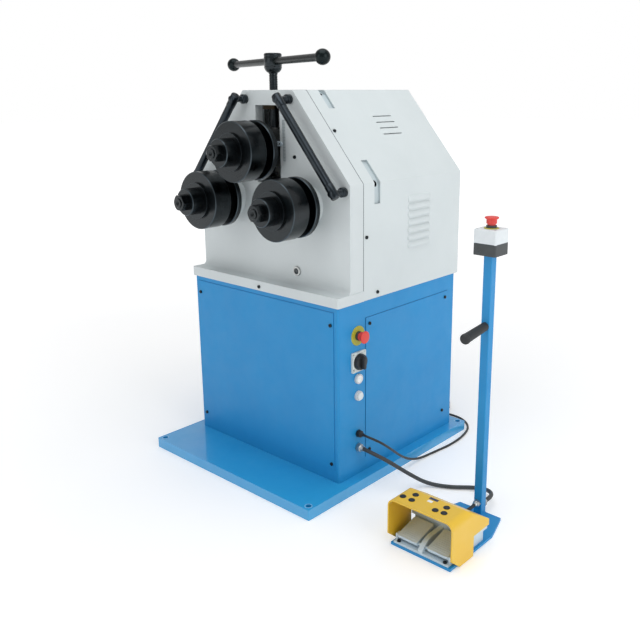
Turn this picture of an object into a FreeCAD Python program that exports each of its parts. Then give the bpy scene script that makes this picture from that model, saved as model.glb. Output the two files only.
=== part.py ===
import FreeCAD, Part
import math
import os

# Ring roller: three-roll bending machine on a sheet-steel cabinet, with a separate foot station.
# Millimetres. +Z is up, the rolls face -Y, +X is the operator's right.
# The origin lies on the floor at the centre of the four anchor holes.

V = FreeCAD.Vector
os.makedirs("parts", exist_ok=True)

# ---------------------------------------------------------------- driving sizes
BASE_WIDTH = 742.0
BASE_DEPTH = 828.0
BASE_HEIGHT = 34.0
CABINET_WIDTH = 668.0
CABINET_DEPTH = 613.0
CABINET_TOP = 600.0
CABINET_SETBACK = 172.0          # base plate in front of the cabinet
HEAD_WIDTH = 676.0
HEAD_TOP = CABINET_TOP + 622.0
HEAD_TOP_WIDTH = 222.0
SHOULDER_HEIGHT = HEAD_TOP - 268.0   # where the side walls bend into the shoulders
FACE_SETBACK = 54.0              # roll face behind the cabinet front
CASTING_DEPTH = 60.0
COVER_DEPTH = 510.0
ROLL_DIA = 182.0
ROLL_SPACING = 344.0             # between the two lower shafts
LOWER_ROLL_HEIGHT = CABINET_TOP + 283.5
TOP_ROLL_HEIGHT = LOWER_ROLL_HEIGHT + 159.5
SHAFT_DIA = 50.0
STATION_X = 722.0                # centre line of the foot station
POST_HEIGHT = 788.0

# ---------------------------------------------------------------- fits and gaps
RUN_FIT = 0.05                   # radial clearance of journals and slides
SEAT_FIT = 0.02                  # radial clearance of pressed-in rings
AIR = 0.3                        # axial or side gap between moving pieces

# ---------------------------------------------------------------- derived places
SHEET = 3.0
CAB_X = CABINET_WIDTH / 2
CAB_FRONT = -BASE_DEPTH / 2 + CABINET_SETBACK
CAB_BACK = CAB_FRONT + CABINET_DEPTH
FACE_Y = CAB_FRONT + FACE_SETBACK
SEAM_Y = FACE_Y + CASTING_DEPTH
COVER_BACK = SEAM_Y + COVER_DEPTH
HEAD_X = HEAD_WIDTH / 2
TOP_X = HEAD_TOP_WIDTH / 2
ROLL_X = ROLL_SPACING / 2
ROLL_R = ROLL_DIA / 2
SHAFT_R = SHAFT_DIA / 2
SHOULDER_RUN = math.hypot(HEAD_X - TOP_X, HEAD_TOP - SHOULDER_HEIGHT)
SLOPE_X = (HEAD_X - TOP_X) / SHOULDER_RUN      # unit step down the shoulder
SLOPE_Z = -(HEAD_TOP - SHOULDER_HEIGHT) / SHOULDER_RUN


# ---------------------------------------------------------------- shape helpers
def box(x0, x1, y0, y1, z0, z1):
    return Part.makeBox(x1 - x0, y1 - y0, z1 - z0, V(x0, y0, z0))


AXES = {"X": (V(1, 0, 0), V(0, 1, 0)), "Y": (V(0, 1, 0), V(1, 0, 0)), "Z": (V(0, 0, 1), V(1, 0, 0))}


def rod(radius, along, start, end, x=0.0, y=0.0, z=0.0):
    """Cylinder from start to end along an axis, through the two other coordinates."""
    axis = AXES[along][0]
    base = V(x, y, z) + axis * (start - axis.dot(V(x, y, z)))
    return Part.makeCylinder(radius, end - start, base, axis)


def sketch(points, place):
    """Closed face; a 4-tuple is an arc through its first pair to its second pair."""
    edges = []
    last = place(*points[0])
    for point in points[1:] + points[:1]:
        end = place(*point[-2:])
        if len(point) == 4:
            edges.append(Part.Arc(last, place(*point[:2]), end).toShape())
        else:
            edges.append(Part.makeLine(last, end))
        last = end
    return Part.Face(Part.Wire(edges))


def lathe(profile, along, x=0.0, y=0.0, z=0.0):
    """Turned solid from (radius, place along the axis) points."""
    axis, side = AXES[along]
    base = V(x, y, z) - axis * axis.dot(V(x, y, z))
    face = sketch(profile, lambda radius, t: base + side * radius + axis * t)
    return face.revolve(base, axis, 360)


def prism_y(points, y0, y1):
    """Outline given as (x, z), from y0 to y1."""
    return sketch(points, lambda x, z: V(x, y0, z)).extrude(V(0, y1 - y0, 0))


def prism_x(points, x0, x1):
    """Outline given as (y, z), from x0 to x1."""
    return sketch(points, lambda y, z: V(x0, y, z)).extrude(V(x1 - x0, 0, 0))


def prism_z(points, z0, z1):
    """Outline given as (x, y), from z0 to z1."""
    return sketch(points, lambda x, y: V(x, y, z0)).extrude(V(0, 0, z1 - z0))


def edges_along(shape, along, keep=lambda centre: True):
    axis = AXES[along][0]
    found = []
    for edge in shape.Edges:
        if len(edge.Vertexes) < 2:
            continue
        run = edge.Vertexes[1].Point - edge.Vertexes[0].Point
        straight = abs(run.Length - edge.Length) < 1e-6
        if straight and abs(abs(run.dot(axis)) - run.Length) < 1e-6 and keep(edge.CenterOfMass):
            found.append(edge)
    return found


def rounded(shape, radius, along, keep=lambda centre: True):
    return shape.makeFillet(radius, edges_along(shape, along, keep))


def fuse(first, *others):
    return first.fuse(list(others)).removeSplitter()


def cut(shape, *tools):
    return shape.cut(list(tools)).removeSplitter()


def mirrored(shape):
    """The same piece on the other side of the machine."""
    return shape.mirror(V(0, 0, 0), V(1, 0, 0))


def save(name, *solids):
    for solid in solids:
        if not solid.isValid() or len(solid.Solids) != 1:
            raise ValueError("bad solid in " + name)
    shape = solids[0] if len(solids) == 1 else Part.makeCompound(list(solids))
    shape.exportStep("parts/" + name + ".step")


def head_outline(inset, bottom, corner_cut=0.0):
    """Outline of the head seen from the front, moved in by inset, corners cut back if asked."""
    reach = -SLOPE_Z * TOP_X + SLOPE_X * HEAD_TOP - inset
    side = HEAD_X - inset
    top = HEAD_TOP - inset
    shoulder = (reach + SLOPE_Z * side) / SLOPE_X
    crest = (reach - SLOPE_X * top) / -SLOPE_Z
    if not corner_cut:
        right = [(side, bottom), (side, shoulder), (crest, top)]
    else:
        right = [
            (side, bottom),
            (side, shoulder - corner_cut),
            (side - SLOPE_X * corner_cut, shoulder - SLOPE_Z * corner_cut),
            (crest + SLOPE_X * corner_cut, top + SLOPE_Z * corner_cut),
            (crest - corner_cut, top),
        ]
    return right + [(-x, z) for x, z in reversed(right)]


def on_shoulder(run):
    """Point on the outside of the right shoulder, run millimetres below the top bend."""
    return V(TOP_X + SLOPE_X * run, 0, HEAD_TOP + SLOPE_Z * run)


# ---------------------------------------------------------------- base plate
BASE_SHEET = 5.0
ANCHOR_EDGE = 19.0
ANCHOR_X = BASE_WIDTH / 2 - ANCHOR_EDGE
ANCHOR_Y = BASE_DEPTH / 2 - ANCHOR_EDGE
ANCHOR_HOLE_R = 9.0
ANCHOR_SLEEVE_R = 16.0
BASE_EDGE_R = 3.0


def make_base_plate():
    """Folded tray with a sleeve round each anchor hole."""
    outer = box(-BASE_WIDTH / 2, BASE_WIDTH / 2, -BASE_DEPTH / 2, BASE_DEPTH / 2, 0, BASE_HEIGHT)
    outer = rounded(outer, BASE_EDGE_R, "Z")
    half_w = BASE_WIDTH / 2 - BASE_SHEET
    half_d = BASE_DEPTH / 2 - BASE_SHEET
    tray = cut(outer, box(-half_w, half_w, -half_d, half_d, -1, BASE_HEIGHT - BASE_SHEET))
    places = [(sx * ANCHOR_X, sy * ANCHOR_Y) for sx in (-1, 1) for sy in (-1, 1)]
    tray = fuse(tray, *[rod(ANCHOR_SLEEVE_R, "Z", 0, BASE_HEIGHT - 1, x=x, y=y) for x, y in places])
    tray = cut(tray, *[rod(ANCHOR_HOLE_R, "Z", -1, BASE_HEIGHT + 1, x=x, y=y) for x, y in places])
    save("base_plate", tray)


# ---------------------------------------------------------------- cabinet
BEND_R = 8.0
PANEL = 2.0
FRONT_PANEL_X = CAB_X - 17.0
FRONT_PANEL_Z = (BASE_HEIGHT + 42.0, CABINET_TOP - 16.0)
SIDE_PANEL_Y = (SEAM_Y + 14.5, CAB_BACK - 43.0)
SIDE_PANEL_Z = (BASE_HEIGHT + 46.0, CABINET_TOP - 56.0)
LAP = 24.0                       # panel over the edge of its opening
CABINET_ROOF = 6.0
ROOF_FRONT = -20.0               # casting and inner plate stand in front of this line
CONTROL_Y = CAB_FRONT + 92.0     # column of controls on the right side
ESTOP_Z = CABINET_TOP - 104.0
SWITCH_Z = ESTOP_Z - 82.0
LAMP_Z = SWITCH_Z - 57.0
BUTTON_Z = LAMP_Z - 56.0
MAINS_Z = 174.0
HOSE_Z = 127.0
STEM_R = 11.2
STEM_HOLE_R = STEM_R + 2 * RUN_FIT
KNOB_STEM_R = 6.0
BUTTON_R = 12.4


def make_cabinet():
    """Folded box with openings behind the two screwed panels."""
    front = CAB_FRONT + PANEL
    shell = rounded(box(-CAB_X, CAB_X, front, CAB_BACK, BASE_HEIGHT, CABINET_TOP), BEND_R, "Z")
    inside = box(-CAB_X + SHEET, CAB_X - SHEET, front + SHEET, CAB_BACK - SHEET,
                 BASE_HEIGHT + SHEET, CABINET_TOP - CABINET_ROOF)
    inside = rounded(inside, BEND_R - SHEET, "Z")
    floor_hole = box(-CAB_X + LAP, CAB_X - LAP, front + LAP, CAB_BACK - LAP,
                     BASE_HEIGHT - 1, BASE_HEIGHT + SHEET + 1)
    roof_hole = box(-CAB_X + 3 * LAP, CAB_X - 3 * LAP, ROOF_FRONT, CAB_BACK - 2 * LAP,
                    CABINET_TOP - CABINET_ROOF - 1, CABINET_TOP + 1)
    front_hole = box(-FRONT_PANEL_X + LAP, FRONT_PANEL_X - LAP, front - 1, front + SHEET + 1,
                     FRONT_PANEL_Z[0] + LAP, FRONT_PANEL_Z[1] - LAP)
    side_hole = box(CAB_X - SHEET - 1, CAB_X + 1, SIDE_PANEL_Y[0] + LAP, SIDE_PANEL_Y[1] - LAP,
                    SIDE_PANEL_Z[0] + LAP, SIDE_PANEL_Z[1] - LAP)
    shell = cut(shell, inside, floor_hole, roof_hole, front_hole, side_hole)
    controls = [(STEM_HOLE_R, ESTOP_Z), (KNOB_STEM_R + RUN_FIT, SWITCH_Z),
                (BUTTON_R + RUN_FIT, BUTTON_Z)]
    holes = [rod(r, "X", CAB_X - SHEET - 1, CAB_X + 1, y=CONTROL_Y, z=z) for r, z in controls]
    save("cabinet_shell", cut(shell, *holes))
    save("front_panel", box(-FRONT_PANEL_X, FRONT_PANEL_X, CAB_FRONT, front, *FRONT_PANEL_Z))
    save("side_panel", box(CAB_X, CAB_X + PANEL, *SIDE_PANEL_Y, *SIDE_PANEL_Z))


# ---------------------------------------------------------------- controls
PLATE_SIZE = 64.0
PLATE_T = 6.0
DISC_R = 31.0
DISC_T = 2.0
COLLAR_R = 14.5
COLLAR_H = 7.0
ESTOP_TRAVEL = 4.0
STEM_DEPTH = 14.0                # stem behind the panel
KNOB_R = 26.0
KNOB_SKIRT = 13.0
KNOB_GRIP = 12.0
BEZEL_R = 15.5
BEZEL_H = 8.0
CAP_RISE = 5.0                   # button cap proud of its bezel
BUTTON_TRAVEL = 4.0
LENS_RISE = 4.0
STATION_DISC_R = 20.5


def mushroom(face):
    """Emergency-stop head: stem, skirt and flared crown, from the panel's outer face."""
    skirt = face + DISC_T + COLLAR_H + ESTOP_TRAVEL + AIR
    return [
        (0, face - STEM_DEPTH), (STEM_R, face - STEM_DEPTH), (STEM_R, skirt), (14.5, skirt),
        (14.5, skirt + 9), (16.2, skirt + 12.5, 19.5, skirt + 14), (19.5, skirt + 16),
        (18.2, skirt + 17.6, 15.5, skirt + 18.3), (10, skirt + 19.2, 4, skirt + 19.6),
        (0, skirt + 19.6),
    ]


def ring_profile(outer, inner, low, high):
    return [(inner, low), (outer, low), (outer, high - 1), (outer - 1, high), (inner, high)]


def make_controls():
    lid_top = BOX_TOP
    at_panel = dict(along="X", y=CONTROL_Y)
    save("estop_discs",
         lathe(ring_profile(DISC_R, STEM_HOLE_R, CAB_X, CAB_X + DISC_T), z=ESTOP_Z, **at_panel),
         lathe(ring_profile(STATION_DISC_R, STEM_HOLE_R, lid_top, lid_top + DISC_T),
               "Z", x=POST_X, y=POST_Y))
    collar = ring_profile(COLLAR_R, STEM_HOLE_R, CAB_X + DISC_T, CAB_X + DISC_T + COLLAR_H)
    button_ring = ring_profile(BEZEL_R, BUTTON_R + RUN_FIT, CAB_X, CAB_X + BEZEL_H)
    top_collar = ring_profile(COLLAR_R, STEM_HOLE_R, lid_top + DISC_T, lid_top + DISC_T + COLLAR_H)
    save("control_bezels",
         lathe(collar, z=ESTOP_Z, **at_panel),
         lathe(button_ring, z=BUTTON_Z, **at_panel),
         lathe(button_ring, z=LAMP_Z, **at_panel),
         lathe(top_collar, "Z", x=POST_X, y=POST_Y))
    save("estop_button", lathe(mushroom(CAB_X), z=ESTOP_Z, **at_panel))
    save("station_estop", lathe(mushroom(lid_top), "Z", x=POST_X, y=POST_Y))

    half = PLATE_SIZE / 2
    plate = box(CAB_X, CAB_X + PLATE_T, CONTROL_Y - half, CONTROL_Y + half,
                SWITCH_Z - half, SWITCH_Z + half)
    plate = rounded(plate, 4, "X")
    hole = rod(KNOB_STEM_R + RUN_FIT, "X", CAB_X - 1, CAB_X + PLATE_T + 1, y=CONTROL_Y, z=SWITCH_Z)
    save("switch_plate", cut(plate, hole))
    start = CAB_X + PLATE_T + AIR
    skirt = [(0, CAB_X - STEM_DEPTH), (KNOB_STEM_R, CAB_X - STEM_DEPTH), (KNOB_STEM_R, start),
             (KNOB_R, start), (KNOB_R - 2, start + KNOB_SKIRT), (0, start + KNOB_SKIRT)]
    grip = box(start, start + KNOB_SKIRT + KNOB_GRIP, CONTROL_Y - 6, CONTROL_Y + 6,
               SWITCH_Z - KNOB_R + 4, SWITCH_Z + KNOB_R - 4)
    grip = rounded(grip, 5.5, "X")
    save("switch_knob", fuse(lathe(skirt, z=SWITCH_Z, **at_panel), grip))

    lens = [(0, CAB_X), (BUTTON_R, CAB_X), (BUTTON_R, CAB_X + BEZEL_H),
            (8.5, CAB_X + BEZEL_H + 3, 3, CAB_X + BEZEL_H + LENS_RISE),
            (0, CAB_X + BEZEL_H + LENS_RISE)]
    save("pilot_lamp", lathe(lens, z=LAMP_Z, **at_panel))
    tip = CAB_X + BEZEL_H + CAP_RISE
    cap = [(0, CAB_X - STEM_DEPTH), (BUTTON_R, CAB_X - STEM_DEPTH), (BUTTON_R, tip - 1),
           (BUTTON_R - 1, tip), (0, tip)]
    save("push_button", lathe(cap, z=BUTTON_Z, **at_panel))


# ---------------------------------------------------------------- head casting
SLOT_X = 54.0
SLOT_TOP = HEAD_TOP - 45.0
SLOT_BOTTOM = TOP_ROLL_HEIGHT - 105.0
FLANGE_TOP = CABINET_TOP + 31.0
FLANGE_X = HEAD_X + 2.0
FLANGE_LIP = 3.0
FACE_WALL = 30.0
RIM = 20.0
RAIL_WIDTH = 26.0                # guide rail on each side of the slot
BOSS_R = 60.0
BOSS_GAP = 2.0                   # between a bearing boss and the roll behind which it stands
ROLL_STANDOFF = 44.0             # rear disc in front of the casting face
BEARING_R = 45.0
BEARING_T = 20.0
SHAFT_CLEAR_R = 30.0
INNER_PLATE_FRONT = SEAM_Y + 45.0
INNER_PLATE_T = 36.0
MOTOR_FRONT = INNER_PLATE_FRONT + INNER_PLATE_T
PILLAR_R = 16.0
PILLARS = (                      # seated on the rim of the front casting
    (TOP_X - 3.0, HEAD_TOP - 38.0), (HEAD_X - 28.0, CABINET_TOP + 130.0),
    (HEAD_X - 138.0, CABINET_TOP + 40.0))
TONGUE_Y = (FACE_Y + FACE_WALL, FACE_Y + FACE_WALL + 13.0)
TONGUE = 8.0                     # rail tongue standing into the carriage groove
SCREW_Y = (FACE_Y + SEAM_Y) / 2
SCREW_R = 13.75
NUT_BODY_R = 22.0
NUT_FLANGE = 12.0
MODULE = 6.0
GEAR_TEETH = 42
PINION_TEETH = 18
PRESSURE_ANGLE = math.radians(20)
GEAR_DISTANCE = MODULE * (GEAR_TEETH + PINION_TEETH) / 2
PINION_Z = LOWER_ROLL_HEIGHT - math.sqrt(GEAR_DISTANCE ** 2 - ROLL_X ** 2)
PILOT_R = 15.0
PINION_SHAFT_R = 17.5
EYE_R = 10.0
EYE_DEPTH = 34.0
INNER_INSET = 12.0
CORNER_CUT = 13.0
REAR_GUIDE_X = 45.0


def make_head_casting():
    """Front casting: face with slot and housing seats, foot flange and a rim round a hollow back."""
    body = prism_y(head_outline(0, CABINET_TOP), FACE_Y, SEAM_Y)
    body = rounded(body, 5, "Y", lambda c: c.z > CABINET_TOP + 10)
    foot = box(-FLANGE_X, FLANGE_X, CAB_FRONT - FLANGE_LIP, SEAM_Y, CABINET_TOP, FLANGE_TOP)
    foot = rounded(foot, 5, "Z", lambda c: c.y < FACE_Y)
    body = fuse(body, foot)
    body = rounded(body, 14, "X", lambda c: abs(c.y - FACE_Y) < 0.1 and abs(c.z - FLANGE_TOP) < 0.1)

    hollow_top = prism_y(head_outline(RIM, FLANGE_TOP + RIM), FACE_Y + FACE_WALL, SEAM_Y + 1)
    crown = box(-SLOT_X - RAIL_WIDTH, SLOT_X + RAIL_WIDTH, FACE_Y, SEAM_Y,
                SLOT_TOP, HEAD_TOP - RIM)
    pilot = rod(2 * PILOT_R, "Y", FACE_Y + 1, SEAM_Y, z=PINION_Z)
    body = fuse(cut(body, hollow_top), crown, pilot)

    tools = [box(-SLOT_X, SLOT_X, FACE_Y - 1, SEAM_Y + 1, SLOT_BOTTOM, SLOT_TOP)]
    tools.append(rod(NUT_BODY_R + SEAT_FIT, "Z", SLOT_TOP - 1, HEAD_TOP + 1, y=SCREW_Y))
    tools.append(rod(PILOT_R + RUN_FIT, "Y", SEAM_Y - 24, SEAM_Y + 1, z=PINION_Z))
    for sx in (-1, 1):
        tools.append(rod(BOSS_R + SEAT_FIT, "Y", FACE_Y - 1, SEAM_Y + 1, x=sx * ROLL_X,
                         z=LOWER_ROLL_HEIGHT))
    save("head_casting", cut(body, *tools))


def make_guide_rails():
    """Rails screwed behind the face; their tongues run in the grooves of the carriage."""
    inner = SLOT_X - TONGUE
    outer = SLOT_X + RAIL_WIDTH
    outline = [(inner, TONGUE_Y[0]), (outer, TONGUE_Y[0]), (outer, SEAM_Y), (SLOT_X, SEAM_Y),
               (SLOT_X, TONGUE_Y[1]), (inner, TONGUE_Y[1])]
    rail = prism_z(outline, SLOT_BOTTOM - RAIL_WIDTH, SLOT_TOP)
    save("guide_rails", rail, mirrored(rail))


def make_bearing_housings():
    """Turned housings of the two driven shafts, seated through the face."""
    boss_front = FACE_Y - ROLL_STANDOFF + BOSS_GAP
    housings = []
    for sx in (-1, 1):
        place = dict(x=sx * ROLL_X, z=LOWER_ROLL_HEIGHT)
        body = rod(BOSS_R, "Y", boss_front, SEAM_Y, **place)
        seat = rod(BEARING_R + SEAT_FIT, "Y", boss_front - 1, boss_front + BOSS_GAP + BEARING_T,
                   **place)
        housings.append(cut(body, seat, rod(SHAFT_CLEAR_R, "Y", boss_front, SEAM_Y + 1, **place)))
    save("bearing_housings", *housings)


def make_feed_nut():
    """Flanged bronze nut under the top bar of the casting."""
    square = CASTING_DEPTH - 8
    flange = box(-square / 2, square / 2, SCREW_Y - square / 2, SCREW_Y + square / 2,
                 SLOT_TOP - NUT_FLANGE, SLOT_TOP)
    flange = rounded(flange, 6, "Z")
    body = fuse(flange, rod(NUT_BODY_R, "Z", SLOT_TOP - 1, HEAD_TOP, y=SCREW_Y))
    bore = rod(SCREW_R + RUN_FIT, "Z", SLOT_TOP - NUT_FLANGE - 1, HEAD_TOP + 1, y=SCREW_Y)
    save("feed_nut", cut(body, bore))


def make_inner_plate():
    """Rear bearing plate on six pillars, with lifting-eye sockets in its cut corners."""
    back = MOTOR_FRONT
    outline = head_outline(INNER_INSET, CABINET_TOP, CORNER_CUT)
    plate = prism_y(outline, INNER_PLATE_FRONT, back)
    pillars = [rod(PILLAR_R, "Y", SEAM_Y, INNER_PLATE_FRONT + 1, x=sx * x, z=z)
               for x, z in PILLARS for sx in (-1, 1)]
    plate = fuse(plate, *pillars)
    middle = (INNER_PLATE_FRONT + back) / 2
    tools = [box(-REAR_GUIDE_X - RUN_FIT, REAR_GUIDE_X + RUN_FIT, INNER_PLATE_FRONT - 1, back + 1,
                 SLOT_BOTTOM, SLOT_TOP - 22)]
    tools.append(rod(PINION_SHAFT_R + RUN_FIT, "Y", INNER_PLATE_FRONT - 1, back + 1, z=PINION_Z))
    for sx in (-1, 1):
        tools.append(rod(BEARING_R + SEAT_FIT, "Y", INNER_PLATE_FRONT - 1, back + 1,
                         x=sx * ROLL_X, z=LOWER_ROLL_HEIGHT))
    right = outline[1:5]
    for low, high in (right[:2], right[2:]):
        centre = V((low[0] + high[0]) / 2, middle, (low[1] + high[1]) / 2)
        outward = V(high[1] - low[1], 0, low[0] - high[0])
        outward.normalize()
        socket = Part.makeCylinder(EYE_R, EYE_DEPTH + 1, centre + outward, outward * -1)
        tools += [socket, mirrored(socket)]
        print("lifting eye at", [round(c, 2) for c in centre], "out", [round(c, 4) for c in outward])
    save("inner_plate", cut(plate, *tools))


def make_shaft_bearings():
    """Closed bearings of the two driven shafts, front and rear."""
    boss_front = FACE_Y - ROLL_STANDOFF + BOSS_GAP
    rings = []
    for sx in (-1, 1):
        for start in (boss_front + BOSS_GAP, REAR_BEARING_Y):
            profile = [(SHAFT_R + RUN_FIT, start), (BEARING_R, start),
                       (BEARING_R, start + BEARING_T), (SHAFT_R + RUN_FIT, start + BEARING_T)]
            rings.append(lathe(profile, "Y", x=sx * ROLL_X, z=LOWER_ROLL_HEIGHT))
    save("shaft_bearings", *rings)


# ---------------------------------------------------------------- sheet cover
COVER_BEND_R = 6.0
FLANGE_FOLD = 23.0               # fold that rests on the cabinet roof
LIFT_SLOT_Y = (SEAM_Y + 50.0, SEAM_Y + 78.0)
TOP_SLOT_RUN = 72.0              # slot length on each side of the top bend
SIDE_SLOT_RUN = (83.0, 64.0)     # above and below the shoulder bend
SLIT_Y = (COVER_BACK - 280.0, COVER_BACK - 186.0)
SLIT_RUNS = (108.5, 132.5, 155.5, 179.5)
SLIT_HALF = 2.0
LOUVRE_Y = (COVER_BACK - 284.0, COVER_BACK - 182.0)
LOUVRE_TOP = SHOULDER_HEIGHT - 66.0
LOUVRE_PITCH = 24.6
LOUVRES = 7
LOUVRE_RISE = 5.0


def wall_cut(start, end, y0, y1):
    """Cutter through the cover wall between two points of its outline."""
    run = end - start
    run.normalize()
    through = V(-run.z, 0, run.x) * (3 * SHEET)
    corners = [start + through, end + through, end - through, start - through]
    return prism_y([(c.x, c.z) for c in corners], y0, y1)


def make_sheet_cover():
    """Folded cover with lifting slots across the bends, slits and pressed louvres."""
    outer = prism_y(head_outline(0, CABINET_TOP), SEAM_Y, COVER_BACK)
    outer = rounded(outer, COVER_BEND_R, "Y", lambda c: c.z > CABINET_TOP + 10)
    inner = prism_y(head_outline(SHEET, CABINET_TOP + SHEET), SEAM_Y - 1, COVER_BACK - SHEET)
    inner = rounded(inner, COVER_BEND_R - SHEET, "Y", lambda c: c.z > CABINET_TOP + 10)
    fold = box(-HEAD_X + FLANGE_FOLD, HEAD_X - FLANGE_FOLD, SEAM_Y - 1, CAB_BACK - FLANGE_FOLD,
               CABINET_TOP - 1, CABINET_TOP + SHEET + 1)
    plate_foot = box(-HEAD_X + SHEET, HEAD_X - SHEET, SEAM_Y - 1, MOTOR_FRONT + 1,
                     CABINET_TOP - 1, CABINET_TOP + SHEET + 1)
    cover = cut(outer, inner, fold, plate_foot)

    hoods = []
    tools = []
    for row in range(LOUVRES):
        z = LOUVRE_TOP - row * LOUVRE_PITCH
        hood = prism_y([(HEAD_X - 1, z + 9), (HEAD_X, z + 9), (HEAD_X + LOUVRE_RISE, z - 2),
                        (HEAD_X - 1, z - 2)], *LOUVRE_Y)
        slit = box(HEAD_X - SHEET - 1, HEAD_X + 1, *LOUVRE_Y, z - 7, z - 2)
        hoods += [hood, mirrored(hood)]
        tools += [slit, mirrored(slit)]
    bend = on_shoulder(0)
    shoulder = on_shoulder(SHOULDER_RUN)
    spans = [(bend - V(TOP_SLOT_RUN, 0, 0), bend), (bend, on_shoulder(TOP_SLOT_RUN)),
             (on_shoulder(SHOULDER_RUN - SIDE_SLOT_RUN[0]), shoulder),
             (shoulder, shoulder - V(0, 0, SIDE_SLOT_RUN[1]))]
    for start, end in spans:
        slot = wall_cut(start, end, *LIFT_SLOT_Y)
        tools += [slot, mirrored(slot)]
    for run in SLIT_RUNS:
        slit = wall_cut(on_shoulder(run - SLIT_HALF), on_shoulder(run + SLIT_HALF), *SLIT_Y)
        tools += [slit, mirrored(slit)]
    save("sheet_cover", cut(fuse(cover, *hoods), *tools))


# ---------------------------------------------------------------- grab handles and plug
HANDLE_R = 13.0
HANDLE_OUT = 47.0
HANDLE_TOP = (TOP_X - 12.0, HEAD_TOP - 27.0)
HANDLE_LOW = (HEAD_X - 22.0, SHOULDER_HEIGHT - 19.0)
HANDLE_PAST = 16.0
FITTING_R = 14.0
FITTING_LENGTH = 45.0
LEG_R = 9.0
LEG_BOSS_R = 14.5
LEG_BOSS_H = 16.0
PLUG_X = 117.0
PLUG_Z = CABINET_TOP + 72.0
PLUG_R = 15.5


def make_handles():
    """Tubular handles with an end fitting and a leg at each end."""
    y = FACE_Y - HANDLE_OUT
    top = V(HANDLE_TOP[0], y, HANDLE_TOP[1])
    low = V(HANDLE_LOW[0], y, HANDLE_LOW[1])
    run = low - top
    length = run.Length + 2 * HANDLE_PAST
    run.normalize()
    start = top - run * HANDLE_PAST
    end = low + run * HANDLE_PAST
    tube = Part.makeCylinder(HANDLE_R, length, start, run)
    fittings = [Part.makeCylinder(FITTING_R, FITTING_LENGTH, start, run),
                Part.makeCylinder(FITTING_R, FITTING_LENGTH, end, run * -1)]
    legs = [rod(LEG_R, "Y", y, FACE_Y, x=x, z=z) for x, z in (HANDLE_TOP, HANDLE_LOW)]
    bosses = [rod(LEG_BOSS_R, "Y", FACE_Y - LEG_BOSS_H, FACE_Y, x=x, z=z)
              for x, z in (HANDLE_TOP, HANDLE_LOW)]
    handle = fuse(tube, *fittings, *legs, *bosses)
    save("grab_handles", handle, mirrored(handle))

    plug = [(0, FACE_Y - 2), (10, FACE_Y - 2), (10, FACE_Y - 5), (PLUG_R - 1, FACE_Y - 5),
            (PLUG_R, FACE_Y - 4), (PLUG_R, FACE_Y), (0, FACE_Y)]
    save("sight_plug", lathe(plug, "Y", x=PLUG_X, z=PLUG_Z))


# ---------------------------------------------------------------- roll stacks
DISC_BACK = FACE_Y - ROLL_STANDOFF
DISC_FRONT = DISC_BACK - 17.0
HUB_FRONT = DISC_FRONT - 28.0
RING_FRONT = HUB_FRONT - 62.0
FLANGE_FRONT = RING_FRONT - 8.0
SLEEVE_FRONT = FLANGE_FRONT - 41.0
NUT_FRONT = SLEEVE_FRONT - 24.0
SHAFT_FRONT = NUT_FRONT - 3.5
HUB_R = 60.0
SLEEVE_R = 42.0
SLEEVE_FLANGE_R = 57.0
THREAD_R = 15.0
NUT_FLATS = 46.0
KEY_WIDTH = 14.0
KEY_HEIGHT = 3.8
EDGE = 2.0
REAR_BEARING_Y = INNER_PLATE_FRONT + 8.0
GEAR_Y = (SEAM_Y + 5.0, SEAM_Y + 41.0)
LOCK_RING_R = 33.0
LOCK_RING_T = 11.0
CENTRE_R = 7.5
CARRIAGE_BACK = MOTOR_FRONT + 4.0
CARRIAGE_BEARING_R = 40.0
CARRIAGE_BEARING_T = 16.0


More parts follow.
